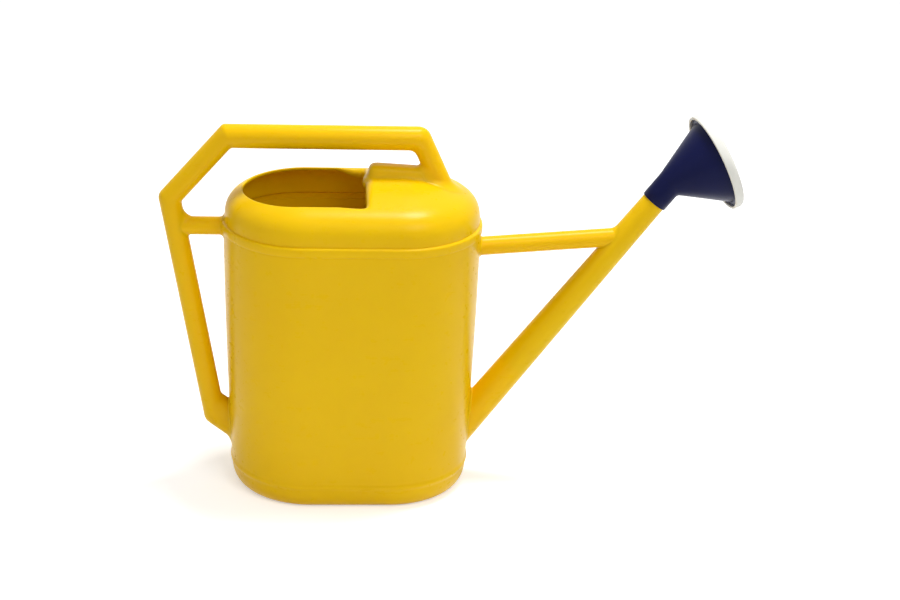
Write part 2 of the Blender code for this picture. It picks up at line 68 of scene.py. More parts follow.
MM = 0.001
SHOULDER_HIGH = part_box("tank_shoulder")[1]
JOINTS = {joint["name"]: joint for joint in frame["joints"]}
ROSE_ORIGIN = np.array(JOINTS["rose_turn"]["pos_m"], float)
SPOUT_AXIS = np.array(JOINTS["rose_turn"]["axis"], float)
PLATE_AXIS = np.array(JOINTS["rose_plate_pull"]["axis"], float)
ACROSS = np.array((0.0, 1.0, 0.0))
FORWARD = np.array((1.0, 0.0, 0.0))
DOWN = np.array((0.0, 0.0, -1.0))

# The can: small measures that no other size gives.
WALL_INSET = 1.7 * MM
FOOT_BEAD_INSET = 0.3 * MM
FOOT_BEAD_WIDTH = 2.6 * MM
TUCK_BELOW_BEAD = 3.0 * MM
TUCK_POWER = 2.3
BEAD_LIP = 0.6 * MM
BEAD_POWER = 4
RIB_FALL = 3.0 * MM
NOSE_DEPTH = 2.6 * MM
NOSE_WIDTH = 9.0 * MM
OPENING_CENTRE = -32.0 * MM
RIM_OVERHANG = 0.35
RIM_DROPS = (0.4 * MM, 0.9 * MM, 1.4 * MM)
BASE_RECESS = 2.4 * MM
BASE_RECESS_EDGE = (0.78, 0.13)
BASE_SHARES = (0.0, 0.25, 0.5, 0.7, 0.8, 0.84, 0.87, 0.9, 0.93, 0.96, 0.985)
ABOVE_TOP = 14.0 * MM
PROBE = 70.0 * MM

# The handle: each bend's outer and inner radius, from the foot round to the post.
BENDS = (
    (14.0 * MM, 6.0 * MM),
    (10.0 * MM, 5.0 * MM),
    (5.0 * MM, 6.0 * MM),
    (13.0 * MM, 9.5 * MM),
)
FOOT_RUN = 40.0 * MM
POST_RUN = 60.0 * MM
FOOT_FLARE_START = 5.4 * MM
POST_FLARE_START = 12.0 * MM
HANDLE_REACH = 60.0 * MM

# The spout and the rose.
BORE_START = -4.0 * MM
BORE_END = 225.0 * MM
SPOUT_LIP = 0.3 * MM
SPOUT_LIP_ROUND = 0.4 * MM
BEND_ROUND = 3.0 * MM
FLANGE_STEP = 1.2 * MM
FACE_STEP = 0.4 * MM
EDGE_ROUND = 0.6 * MM
EDGE_SLOPE = 0.18 * MM
CORNER_ROUND = 0.35 * MM
MOUTH_ROUND = 0.25 * MM
PLATE_GAP = 0.3 * MM
SKIRT_PAST_FLANGE = 2.4 * MM
SKIRT_ROUND = 0.7
RIM_WIDTH = 3.4 * MM
RIM_LIFT = 1.0 * MM
RIM_HEIGHT = 4.2 * MM
PIN_ENDS = (-12.0 * MM, 22.0 * MM)

# The stage: each lamp's name, place, size and power; the world's level; the camera.
LAMP_TARGET = (0.05, 0.0, 0.2)
LAMPS = (
    ("key", (0.75, -1.5, 1.75), 0.9, 13.0),
    ("fill", (-1.7, -1.3, 0.9), 1.6, 2.0),
    ("top", (0.4, 0.2, 2.1), 0.45, 31.0),
)
WORLD_LEVEL = 0.44
FLOOR_GLOW = 0.42
FLOOR_BELOW = 0.3 * MM
LENS = 76.87688
SENSOR = 36.0


# Sizes and colours ---------------------------------------------------------------


def length(name, description, default):
    """A property that holds a length."""
    return FloatProperty(
        name=name, description=description, default=default, min=0.0, unit="LENGTH"
    )


def angle(name, description, degrees):
    """A property that holds an angle, given in degrees and kept in radians."""
    return FloatProperty(
        name=name, description=description, default=math.radians(degrees), subtype="ANGLE"
    )


def colour(name, description, default):
    """A property that holds a colour."""
    return FloatVectorProperty(
        name=name, description=description, default=default, size=4, min=0.0, max=1.0,
        subtype="COLOR",
    )


class CanSizes(PropertyGroup):
    """The tank, its shoulder, its deck and the filling opening."""

    front: length("Front", "Front of the shoulder bead, from the middle", SHOULDER_HIGH.x)
    top: length("Top", "Height of the middle of the deck", 333.5 * MM)
    radius: length("Radius", "Plan radius at the shoulder bead", 84.0 * MM)
    bead_top: length("Bead height", "Height of the shoulder bead's top edge", 285.4 * MM)
    bead_width: length("Bead width", "Width of the shoulder bead", 9.4 * MM)
    bead_depth: length("Bead depth", "How far the shoulder bead stands proud", 2.9 * MM)
    crown: length("Crown", "Rise of the deck above the full shoulder", 8.5 * MM)
    crown_inset: length("Crown inset", "Width of the shoulder outside the crown", 22.0 * MM)
    bulge: length("Wall bulge", "How far the wall swells at mid height", 1.1 * MM)
    taper: length("Taper", "How much shorter each half is at the foot", 6.3 * MM)
    foot_bead: length("Foot bead height", "Height of the foot bead", 24.5 * MM)
    foot_inset: length("Foot inset", "How far the base lies inside the foot bead", 11.9 * MM)
    wall: length("Wall", "Thickness of the moulding", 2.0 * MM)
    opening_radius: length("Opening radius", "Radius of the opening's round end", 58.0 * MM)
    opening_middle: FloatProperty(
        name="Opening middle", description="Middle of the opening's round end",
        default=-52.0 * MM, unit="LENGTH",
    )
    opening_front: length("Opening front", "The opening's straight edge", 15.0 * MM)
    opening_corner: length("Opening corner", "Radius of the opening's corners", 5.5 * MM)
    rim_roll: length("Rim roll", "Radius of the rolled rim", 1.8 * MM)
    deck_roll: length("Deck roll", "Radius of the roll along the deck", 9.0 * MM)
    rib_radius: length("Rib radius", "Radius of the rib along the deck", 10.6 * MM)
    rib_height: length("Rib height", "Height of the rib's centre line", 333.6 * MM)
    rib_start: length("Rib start", "Where the rib's round nose begins", 25.0 * MM)
    rib_end: length("Rib end", "Where the rib runs into the post", 77.0 * MM)
    rib_fillet: length("Rib fillet", "Softness of the rib's foot", 3.5 * MM)
    columns: IntProperty(
        name="Columns", description="Steps round the can", default=232, min=48
    )


class HandleSizes(PropertyGroup):
    """The loop handle and its bridge to the shoulder."""

    grip_radius: length("Grip radius", "Radius of the grip", 12.0 * MM)
    grip_height: length("Grip height", "Height of the grip's centre line", 371.0 * MM)
    grip_rear: FloatProperty(
        name="Grip rear", description="Rear end of the grip's centre line",
        default=-124.4 * MM, unit="LENGTH",
    )
    grip_front: length("Grip front", "Front end of the grip's centre line", 66.0 * MM)
    slope_radius: length("Slope radius", "Radius of the rear slope", 11.0 * MM)
    strut_radius: length("Strut radius", "Radius of the rear strut", 10.9 * MM)
    post_radius: length("Post radius", "Radius of the front post", 10.6 * MM)
    post_lean: angle("Post lean", "Lean of the front post from upright", 24.8)
    rear_out: length("Rear reach", "The rear corner behind the can's back", 50.8 * MM)
    rear_height: length("Rear height", "Height of the rear corner", 306.1 * MM)
    foot_out: length("Foot reach", "The strut's foot behind the can's back", 11.3 * MM)
    foot_height: length("Foot height", "Height of the strut's foot", 76.5 * MM)
    foot_radius: length("Foot radius", "Half height of the foot behind the tank", 17.0 * MM)
    foot_slope: angle("Foot slope", "Slope of the foot down into the can", 38.0)
    bridge_radius: length("Bridge radius", "Radius of the bridge", 9.2 * MM)
    bridge_height: length("Bridge height", "Height of the bridge", 277.0 * MM)


class SpoutSizes(PropertyGroup):
    """The spout and its brace."""

    root_radius: length("Root radius", "Radius where the spout leaves the can", 16.2 * MM)
    end_radius: length("End radius", "Radius at the spout's mouth", 12.0 * MM)
    wall: length("Wall", "Thickness of the spout", 1.8 * MM)
    root_distance: length("Root distance", "From the rose back to the can", 285.0 * MM)
    mouth: length("Mouth", "How far the mouth reaches into the rose", 21.6 * MM)
    brace_radius: length("Brace radius", "Radius of the brace", 9.5 * MM)
    brace_angle: angle("Brace angle", "Rise of the brace from level", 4.7)
    brace_height: length("Brace height", "Height of the brace at the can's front", 258.0 * MM)


class RoseSizes(PropertyGroup):
    """The rose's funnel and its perforated plate."""

    sleeve: length("Sleeve", "Length of the sleeve up to the bend", 23.0 * MM)
    clearance: length("Clearance", "Room between the sleeve and the spout", 0.3 * MM)
    sleeve_wall: length("Sleeve wall", "Thickness of the sleeve", 1.3 * MM)
    cone: length("Cone", "Length of the cone from the bend", 51.0 * MM)
    cone_radius: length("Cone radius", "Radius of the cone's wide end", 43.2 * MM)
    wall: length("Wall", "Thickness of the cone", 1.8 * MM)
    flange_radius: length("Flange radius", "Radius of the flange", 47.8 * MM)
    flange: length("Flange", "Thickness of the flange", 2.5 * MM)
    plate_radius: length("Plate radius", "Radius of the plate's rim", 50.9 * MM)
    crown: length("Crown", "Rise of the plate's middle", 4.5 * MM)
    hole: length("Hole", "Radius of each hole", 1.1 * MM)
    ring_step: length("Ring step", "Distance from one ring of holes to the next", 8.4 * MM)
    rings: IntProperty(name="Rings", description="Rings of holes", default=5, min=1)


class Finishes(PropertyGroup):
    """The colours of the plastics and of the stage."""

    yellow: colour("Yellow", "The can", (0.84, 0.53, 0.001, 1.0))
    deep_yellow: colour("Deep yellow", "Thicker plastic", (0.80, 0.465, 0.001, 1.0))
    navy: colour("Navy", "The rose", (0.004, 0.006, 0.055, 1.0))
    deep_navy: colour("Deep navy", "Darker parts of the rose", (0.002, 0.004, 0.034, 1.0))
    white: colour("White", "The plate", (0.78, 0.78, 0.74, 1.0))
    ivory: colour("Ivory", "Duller parts of the plate", (0.66, 0.65, 0.58, 1.0))
    floor: colour("Floor", "The stage", (0.92, 0.92, 0.92, 1.0))


# Arrays and meshes ---------------------------------------------------------------


def unit(vector):
    """The vector at a length of one."""
    return vector / np.linalg.norm(vector)


def turns(count):
    """Evenly spaced angles once round, without the last."""
    return np.arange(count) * (math.tau / count)


def smooth_step(share):
    """Three times the square less twice the cube, held between 0 and 1."""
    share = np.clip(share, 0.0, 1.0)
    return share * share * (3.0 - 2.0 * share)


def grid_quads(rows, columns):
    """Four corners for each cell of a grid whose last column meets its first."""
    index = np.arange(rows * columns).reshape(rows, columns)
    beside = np.roll(index, -1, axis=1)
    cells = (index[:-1], beside[:-1], beside[1:], index[1:])
    return np.stack(cells, axis=-1).reshape(-1, 4)


def set_mesh(mesh, points, quads):
    """Fills the mesh with the points and four-cornered faces."""
    count = len(quads)
    mesh.vertices.add(len(points))
    mesh.vertices.foreach_set("co", np.asarray(points, np.float32).ravel())
    mesh.loops.add(4 * count)
    mesh.loops.foreach_set("vertex_index", quads.astype(np.int32).ravel())
    mesh.polygons.add(count)
    mesh.polygons.foreach_set("loop_start", np.arange(count, dtype=np.int32) * 4)
    mesh.update(calc_edges=True)


def weld(mesh):
    """Makes points that coincide one, drops the faces that collapse, and turns the rest out."""
    shape = bmesh.new()
    shape.from_mesh(mesh)
    bmesh.ops.remove_doubles(shape, verts=shape.verts[:], dist=0.002 * MM)
    bmesh.ops.dissolve_degenerate(shape, edges=shape.edges[:], dist=0.0005 * MM)
    bmesh.ops.recalc_face_normals(shape, faces=shape.faces[:])
    shape.to_mesh(mesh)
    shape.free()


def surface(name, grid, sharp=38.0):
    """An object from a grid of points, closed round its columns, shaded smooth."""
    rows, columns = grid.shape[:2]
    mesh = bpy.data.meshes.new(name)
    set_mesh(mesh, grid.reshape(-1, 3), grid_quads(rows, columns))
    weld(mesh)
    mesh.shade_smooth()
    mesh.set_sharp_from_angle(angle=math.radians(sharp))
    obj = bpy.data.objects.new(name, mesh)
    bpy.context.scene.collection.objects.link(obj)
    return obj


def frozen(obj):
    """The object with its modifiers applied to its mesh."""
    bpy.context.view_layer.update()
    graph = bpy.context.evaluated_depsgraph_get()
    mesh = bpy.data.meshes.new_from_object(obj.evaluated_get(graph))
    obj.modifiers.clear()
    obj.data = mesh
    return obj


def finish_piece(obj, body, slot, material, *nodes):
    """Gives the piece its material and body, and hides the nodes that it stands for."""
    obj.data.materials.clear()
    obj.data.materials.append(material)
    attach(obj, body)
    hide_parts(*nodes)
    return obj


def closed_end(ring, inward):
    """Two rows that close a tube: its ring pushed a little way in, then its middle."""
    sunk = ring + 0.3 * MM * inward
    middle = np.broadcast_to(sunk.mean(axis=0), sunk.shape)
    return np.stack([sunk, middle])


# Fields: less than zero inside the solid -------------------------------------------


def blend_min(first, second, softness):
    """The smaller of two fields, rounded off where they are within the softness."""
    share = np.maximum(softness - np.abs(first - second), 0.0) / softness
    return np.minimum(first, second) - share * share * softness / 4


def capsule(points, start, end, start_radius, end_radius):
    """Distance from a line between two points, less a radius that runs evenly along it."""
    along = end - start
    share = np.clip(((points - start) @ along) / (along @ along), 0.0, 1.0)
    radius = start_radius + share * (end_radius - start_radius)
    nearest = start + share[..., None] * along
    return np.linalg.norm(points - nearest, axis=-1) - radius


def bracket(field, starts, direction, reach, steps=34):
    """Two distances, by halving, between which each start meets the field's surface."""
    near = np.zeros(starts.shape[:-1])
    far = np.full(starts.shape[:-1], reach)
    for _ in range(steps):
        middle = (near + far) / 2
        outside = field(starts + middle[..., None] * direction) > 0
        near = np.where(outside, middle, near)
        far = np.where(outside, far, middle)
    return near, far


def first_hit(field, starts, direction, reach):
    """How far along the direction each start meets the field's surface."""
    near, far = bracket(field, starts, direction, reach)
    return (near + far) / 2


class CanShape:
    """The can's outside: a stadium in plan at every level, a domed shoulder and a deck rib."""

    def __init__(self, sizes):
        self.sizes = sizes
        self.half = sizes.front - sizes.radius
        self.dome_radius = sizes.radius - sizes.bead_depth
        self.bead_low = sizes.bead_top - sizes.bead_width
        self.wall_radius = sizes.radius - WALL_INSET
        self.foot_radius = sizes.radius - FOOT_BEAD_INSET

    def half_length(self, height):
        """Half of the straight side: full above the bead, then evenly less to the foot bead."""
        drop = (self.bead_low - height) / (self.bead_low - self.sizes.foot_bead)
        return self.half - self.sizes.taper * np.clip(drop, 0.0, 1.0)

    def across(self, x, y, half):
        """Distance from the middle line of the stadium."""
        return np.hypot(np.maximum(np.abs(x) - half, 0.0), y)

    def dome(self, x, y):
        """Height of the dome: a shoulder whose cubes add up to one, and a bell-shaped crown."""
        sizes = self.sizes
        distance = self.across(x, y, self.half)
        share = np.clip(distance / self.dome_radius, 0.0, 1.0)
        shoulder = np.cbrt(np.maximum(1.0 - share**3, 0.0))
        inner = sizes.radius - sizes.crown_inset
        crown = np.maximum(0.0, 1.0 - (distance / inner) ** 2) ** 2
        low = sizes.bead_top + BEAD_LIP
        return low + (sizes.top - low - sizes.crown) * shoulder + sizes.crown * crown

    def top_field(self, points):
        """Height above the dome and the rib, with a soft fillet between the two. The rib is a
        bar with a squarish section and nose, whose cubes add up to its radius cubed."""
        sizes = self.sizes
        above = points[..., 2] - self.dome(points[..., 0], points[..., 1])
        along = points[..., 0]
        past = np.maximum(np.maximum(sizes.rib_start - along, along - sizes.rib_end), 0.0)
        share = (along - sizes.rib_start) / (sizes.rib_end - sizes.rib_start)
        middle = sizes.rib_height - RIB_FALL * np.clip(share, 0.0, 1.0)
        cubes = past**3 + np.abs(points[..., 1]) ** 3 + np.abs(points[..., 2] - middle) ** 3
        return blend_min(above, np.cbrt(cubes) - sizes.rib_radius, sizes.rib_fillet)

    def top(self, x, y):
        """Height of the deck with its rib, found by halving straight down."""
        high = np.full(x.shape, self.sizes.top + ABOVE_TOP)
        starts = np.stack([x, y, high], axis=-1)
        return high - first_hit(self.top_field, starts, DOWN, PROBE)

    def wall(self, height):
        """Plan radius below the dome: beads at the shoulder and foot, a slight swell between."""
        sizes = self.sizes
        share = (self.bead_low - height) / (self.bead_low - sizes.foot_bead)
        swell = 4 * sizes.bulge * np.clip(share, 0, 1) * np.clip(1 - share, 0, 1)
        near_foot = np.exp(-(((height - sizes.foot_bead) / FOOT_BEAD_WIDTH) ** 2))
        bead = (self.foot_radius - self.wall_radius) * near_foot
        low = np.clip(1.0 - height / (sizes.foot_bead - TUCK_BELOW_BEAD), 0.0, 1.0)
        tuck = sizes.foot_inset * (1.0 - np.sqrt(np.maximum(1.0 - low**TUCK_POWER, 0.0)))
        return self.wall_radius + swell + bead - tuck

    def bead(self, height):
        """Plan radius of the shoulder bead: a band whose section rounds off at both edges."""
        sizes = self.sizes
        middle = sizes.bead_top - sizes.bead_width / 2
        edge = np.abs(height - middle) / (sizes.bead_width / 2)
        band = np.sqrt(np.maximum(1.0 - np.clip(edge, 0.0, 1.0) ** BEAD_POWER, 0.0))
        return self.wall_radius + (sizes.radius - self.wall_radius) * band

    def field(self, points):
        """Distance outside the wall, or height above the dome and rib, whichever is larger."""
        height = points[..., 2]
        half = self.half_length(height)
        radius = np.where(height > self.bead_low, self.bead(height), self.wall(height))
        wall = self.across(points[..., 0], points[..., 1], half) - radius
        return np.maximum(wall, self.top_field(points))


# Tubes that run out on a skin --------------------------------------------------------


def ring_points(middle, side, up, radius, angles):
    """Points round a middle: side times the cosine and up times the sine, at the radius."""
    radius = np.asarray(radius)[..., None]
    return middle + radius * (np.cos(angles)[:, None] * side + np.sin(angles)[:, None] * up)


def flare(field, middle, axis, side, up, radius, fillet, angles, steps=14, reach=0.2):
    """Rows from a tube out on to a skin. The radius grows by the fillet as one less a cosine,
    while the distance left to the skin shrinks as the fillet times one less a sine."""
    hit = first_hit(field, ring_points(middle, side, up, radius(0.0), angles), axis, reach)
    fillet = np.minimum(fillet, np.maximum(hit - 0.4 * MM, 0.6 * MM))
    plain = radius(np.maximum(hit - fillet, 0.0))
    rows = []
    for step in 1.0 - (1.0 - np.linspace(0.0, 1.0, steps)) ** 1.4:
        turn = step * math.pi / 2
        wide = plain + fillet * (1.0 - math.cos(turn))
        starts = ring_points(middle, side, up, wide, angles)
        along = first_hit(field, starts, axis, reach)
        along = along - fillet * (1.0 - math.sin(turn))
        rows.append(starts + along[:, None] * axis)
    return np.stack(rows)


def even(radius, angles):
    """A radius that is the same all along a tube, as a function of the distance."""
    return lambda distance: np.full(angles.shape, radius)


def tie(name, fields, reaches, middle, axis, radius, fillets, angles):
    """A straight tie: from its middle, one flare against its axis and one along it. Each
    reach ends inside the solid that the tie meets."""
    side = unit(np.cross(axis, ACROSS))
    ends = []
    for field, reach, way, fillet in zip(fields, reaches, (-axis, axis), fillets):
        end = flare(
            field, middle, way, side, ACROSS, even(radius, angles), fillet, angles, reach=reach
        )
        ends.append(np.concatenate([end, closed_end(end[-1], way)]))
    back, ahead = ends
    centre = ring_points(middle, side, ACROSS, radius, angles)[None]
    return surface(name, np.concatenate([back[::-1], centre, ahead]))


def fillet_round(angles, above, below, beside):
    """A fillet's size round a tie: full above and below, small at the sides, where a tube
    falls away from it. It follows the fourth power of the height round the ring."""
    rise = np.cos(angles)
    full = np.where(rise > 0.0, above, below)
    return beside + (full - beside) * rise**4


def left_of(direction):
    """The direction turned a quarter to the left in the plane of the handle."""
    return np.array((-direction[2], 0.0, direction[0]))


def line_crossing(point_a, direction_a, point_b, direction_b):
    """Where two lines in the plane of the handle meet."""
    sides = np.array([[direction_a[0], -direction_b[0]], [direction_a[2], -direction_b[2]]])
    gap = np.array([point_b[0] - point_a[0], point_b[2] - point_a[2]])
    return point_a + np.linalg.solve(sides, gap)[0] * direction_a


def bend_rows(corner, before, after, radii, depths, rounds, angles, steps=12):
    """Rows round one corner of the loop. The outer and the inner edge each follow an arc of
    their own radius, and each ring spans from one edge to the other, with its own depth."""
    left_a, left_b = left_of(before), left_of(after)
    spread = (left_a + left_b) / (1.0 + left_a @ left_b)
    outer = line_crossing(corner + radii[0] * left_a, before, corner + radii[1] * left_b, after)
    inner = line_crossing(corner - radii[0] * left_a, before, corner - radii[1] * left_b, after)
    full = math.atan2(left_b[2], left_b[0]) - math.atan2(left_a[2], left_a[0])
    full = (full + math.pi) % math.tau - math.pi
    first = math.atan2(left_a[2], left_a[0])
    rows = []
    for share in np.linspace(0.0, 1.0, steps):
        turn = first + share * full
        normal = np.array((math.cos(turn), 0.0, math.sin(turn)))
        edge_out = outer + rounds[0] * (normal - spread)
        edge_in = inner + rounds[1] * (normal - spread)
        depth = depths[0] + share * (depths[1] - depths[0])
        middle = (edge_out + edge_in) / 2
        half = (edge_out - edge_in) / 2
        rows.append(middle + np.cos(angles)[:, None] * half
                    + depth * np.sin(angles)[:, None] * ACROSS)
    return np.stack(rows)


# Surfaces ----------------------------------------------------------------------------


def plan_directions(count):
    """Directions round the opening, closest together in front, where the rib crosses."""
    even = turns(count)
    return even - 0.8 * np.sin(even)


def plan_rays(directions, middle):
    """Level rays from one point on the can's middle line: where they start, and their ways."""
    starts = np.zeros(directions.shape + (3,))
    starts[:, 0] = middle
    return starts, np.stack([np.cos(directions), np.sin(directions), 0 * directions], axis=-1)


def stadium_columns(shape, directions, middle):
    """Where each direction meets the dome's outline: the round angle, and how far it lies
    along the straight side, from -1 to 1."""

    def inside(points):
        return shape.dome_radius - shape.across(points[..., 0], points[..., 1], shape.half)

    starts, headings = plan_rays(directions, middle)
    reach, _ = bracket(inside, starts, headings, 0.4, steps=40)
    edge = starts + reach[:, None] * headings
    along = np.clip(edge[:, 0], -shape.half, shape.half) / shape.half
    angles = np.arctan2(edge[:, 1], edge[:, 0] - along * shape.half)
    return along, angles, reach


def opening_field(sizes, points, inset):
    """Distance outside the opening's outline: round behind, straight at the sides and at the
    deck, its corners rounded, and pushed in a little where the rib's nose comes down."""
    nose = NOSE_DEPTH * np.exp(-((points[..., 1] / NOSE_WIDTH) ** 4))
    corner = sizes.opening_corner
    behind = np.minimum(points[..., 0] - sizes.opening_middle, 0.0)
    disc = np.hypot(behind, points[..., 1]) - sizes.opening_radius + corner + inset
    straight = points[..., 0] - (sizes.opening_front - nose) + corner + inset
    outside = np.hypot(np.maximum(disc, 0.0), np.maximum(straight, 0.0))
    return np.minimum(np.maximum(disc, straight), 0.0) + outside - corner


def opening_reach(sizes, directions, middle, inset):
    """How far from the middle each direction leaves the opening."""

    def inside(points):
        return -opening_field(sizes, points, inset)

    starts, headings = plan_rays(directions, middle)
    return first_hit(inside, starts, headings, 0.2)


def plan_ring(along, angles, half, radius, height):
    """One level of the can: the straight side's share of the half length plus a round end."""
    x = along * half + radius * np.cos(angles)
    y = radius * np.sin(angles)
    return np.stack([x, y, np.broadcast_to(height, x.shape)], axis=-1)


def base_rows(shape, along, angles):
    """The base: the outline shrunk towards its middle, which lies a little higher."""
    half = shape.half_length(0.0)
    radius = shape.wall(np.array(0.0))
    edge, width = BASE_RECESS_EDGE
    rows = []
    for share in BASE_SHARES:
        lift = BASE_RECESS * (1.0 - smooth_step((share - edge) / width))
        rows.append(plan_ring(along, angles, share * half, share * radius, lift))
    return rows


def wall_rows(shape, along, angles):
    """The wall from the base to the top of the shoulder bead, closest at the beads."""
    sizes = shape.sizes
    tuck = (sizes.foot_bead - 6.0 * MM) * np.linspace(0.0, 1.0, 15) ** 2
    foot = np.linspace(sizes.foot_bead - 5.4 * MM, sizes.foot_bead + 6.5 * MM, 16)
    plain = np.linspace(sizes.foot_bead + 12.0 * MM, shape.bead_low - 6.0 * MM, 22)
    rows = []
    for height in np.concatenate([tuck, foot, plain]):
        radius = shape.wall(height)
        rows.append(plan_ring(along, angles, shape.half_length(height), radius, height))
    middle = sizes.bead_top - sizes.bead_width / 2
    for turn in np.linspace(-math.pi / 2, math.pi / 2, 17):
        height = middle + sizes.bead_width / 2 * math.sin(turn)
        rows.append(plan_ring(along, angles, shape.half, shape.bead(height), height))
    return rows


def dome_rows(shape, directions, edge_reach, middle, steps=56):
    """From the bead in to the rolled rim, along each direction, and down the roll's inside."""
    sizes = shape.sizes
    front = smooth_step((np.cos(directions) - 0.25) / 0.35)
    roll = sizes.rim_roll + (sizes.deck_roll - sizes.rim_roll) * front
    lip = opening_reach(sizes, directions, middle, RIM_OVERHANG * roll)
    start = lip + roll
    headings = np.stack([np.cos(directions), np.sin(directions)], axis=-1)
    rows = []
    for share in smooth_step(np.linspace(0.0, 1.0, steps)) ** 1.5:
        reach = edge_reach + share * (start - edge_reach)
        flat = reach[:, None] * headings + np.array((middle, 0.0))
        height = shape.top(flat[:, 0], flat[:, 1])
        rows.append(np.concatenate([flat, height[:, None]], axis=1))
    for turn in np.linspace(0.0, math.pi / 2, 15)[1:]:
        reach = start - roll * math.sin(turn)
        flat = reach[:, None] * headings + np.array((middle, 0.0))
        height = shape.top(flat[:, 0], flat[:, 1]) - roll * (1.0 - math.cos(turn))
        rows.append(np.concatenate([flat, height[:, None]], axis=1))
    rim = rows[-1]
    return rows + [rim + drop * DOWN for drop in RIM_DROPS]


def can_skin(sizes):
    """The whole outside of the can, from the middle of the base up and in to the lip."""
    shape = CanShape(sizes)
    directions = plan_directions(sizes.columns)
    along, angles, reach = stadium_columns(shape, directions, OPENING_CENTRE)
    rows = base_rows(shape, along, angles) + wall_rows(shape, along, angles)
    rows += dome_rows(shape, directions, reach, OPENING_CENTRE)
    return np.stack(rows)


def handle_points(can, sizes):
    """The corners of the loop's centre line, from inside the can at the foot round to the
    front post, with the radius of each run."""
    back = -can.front
    post = np.array((math.sin(sizes.post_lean), 0.0, -math.cos(sizes.post_lean)))
    foot = np.array((math.cos(sizes.foot_slope), 0.0, -math.sin(sizes.foot_slope)))
    strut_foot = np.array((back - sizes.foot_out, 0.0, sizes.foot_height))
    rear = np.array((back - sizes.rear_out, 0.0, sizes.rear_height))
    grip_rear = np.array((sizes.grip_rear, 0.0, sizes.grip_height))
    grip_front = np.array((sizes.grip_front, 0.0, sizes.grip_height))
    points = [
        strut_foot + FOOT_RUN * foot,
        strut_foot,
        rear,
        grip_rear,
        grip_front,
        grip_front + POST_RUN * post,
    ]
    radii = [
        sizes.foot_radius,
        sizes.strut_radius,
        sizes.slope_radius,
        sizes.grip_radius,
        sizes.post_radius,
    ]
    return points, radii


def handle_field(points, radii):
    """Distance outside the nearest run of the loop."""

    def field(where):
        runs = [
            capsule(where, start, end, radius, radius)
            for start, end, radius in zip(points[1:-2], points[2:-1], radii[1:-1])
        ]
        return np.minimum.reduce(runs)

    return field


def handle_loop(can, sizes, columns=48):
    """The loop: a flare at the foot, a bend at each corner, and a flare under the post."""
    shape = CanShape(can)
    points, radii = handle_points(can, sizes)
    depths = [sizes.strut_radius, *radii[1:]]
    angles = turns(columns)
    headings = [unit(end - start) for start, end in zip(points[:-1], points[1:])]
    rows = []
    for corner, rounds in enumerate(BENDS, start=1):
        pair = slice(corner - 1, corner + 1)
        rows.append(
            bend_rows(
                points[corner], *headings[pair], radii[pair], depths[pair], rounds, angles
            )
        )
    height = np.cos(angles)
    foot_fillet = (5.0 + 2.0 * height) * MM
    foot = flare(
        shape.field, points[1] - FOOT_FLARE_START * headings[0], -headings[0],
        left_of(headings[0]), depths[0] / radii[0] * ACROSS, even(radii[0], angles),
        foot_fillet, angles, reach=HANDLE_REACH,
    )
    post_fillet = (8.0 + 1.5 * height) * MM
    post = flare(
        shape.field, points[4] + POST_FLARE_START * headings[4], headings[4],
        left_of(headings[4]), ACROSS, even(radii[4], angles),
        post_fillet, angles, reach=HANDLE_REACH,
    )
    foot = np.concatenate([foot, closed_end(foot[-1], -headings[0])])
    post = np.concatenate([post, closed_end(post[-1], headings[4])])
    return surface("handle_loop", np.concatenate([foot[::-1], *rows, post]))


def spout_radius(sizes):
    """Radius along the spout, from the rose's joint back: an even taper to the root."""

    def radius(distance):
        share = np.clip((distance + sizes.mouth) / (sizes.root_distance + sizes.mouth), 0, 1.1)
        return sizes.end_radius + share * (sizes.root_radius - sizes.end_radius)

    return radius


def spout_field(sizes):
    """Distance outside the tapering spout."""
    radius = spout_radius(sizes)

    def field(points):
        back = (ROSE_ORIGIN - points) @ SPOUT_AXIS
        nearest = ROSE_ORIGIN - back[..., None] * SPOUT_AXIS
        return np.linalg.norm(points - nearest, axis=-1) - radius(back)

    return field


def spout_tube(can, sizes, columns=56):
    """The spout: its bore, its mouth, its outside and a flare on the can."""
    angles = turns(columns)
    side = unit(np.cross(ACROSS, SPOUT_AXIS))
    radius = spout_radius(sizes)
    runs = np.concatenate([[-sizes.mouth], np.linspace(BORE_START, BORE_END, 12)])

    def ring(distance, inset):
        middle = ROSE_ORIGIN - distance * SPOUT_AXIS
        return ring_points(middle, side, ACROSS, radius(distance) - inset, angles)

    bore = [ring(distance, sizes.wall) for distance in runs[::-1]]
    end = np.broadcast_to(bore[0].mean(axis=0), bore[0].shape)
    lip = [
        ring(SPOUT_LIP - sizes.mouth, sizes.wall),
        ring(-sizes.mouth, sizes.wall - SPOUT_LIP),
        ring(-sizes.mouth, SPOUT_LIP_ROUND),
        ring(SPOUT_LIP_ROUND - sizes.mouth, 0.0),
    ]
    outside = [ring(distance, 0.0) for distance in runs[1:]]
    lean = np.cos(angles)
    root = flare(
        CanShape(can).field, ROSE_ORIGIN - runs[-1] * SPOUT_AXIS, -SPOUT_AXIS, side, ACROSS,
        lambda d: radius(d + runs[-1]), (4.0 - 2.0 * lean) * MM, angles,
    )
    root = np.concatenate([root, closed_end(root[-1], -SPOUT_AXIS)])
    grid = np.stack([end, *bore[:-1], *lip, *outside])
    return surface("spout", np.concatenate([grid, root]))


def rose_frame():
    """The bend's own direction, shared by sleeve and cone, and the side of each."""
    hinge = unit(np.cross(PLATE_AXIS, SPOUT_AXIS))
    return hinge, np.cross(hinge, SPOUT_AXIS), np.cross(hinge, PLATE_AXIS)


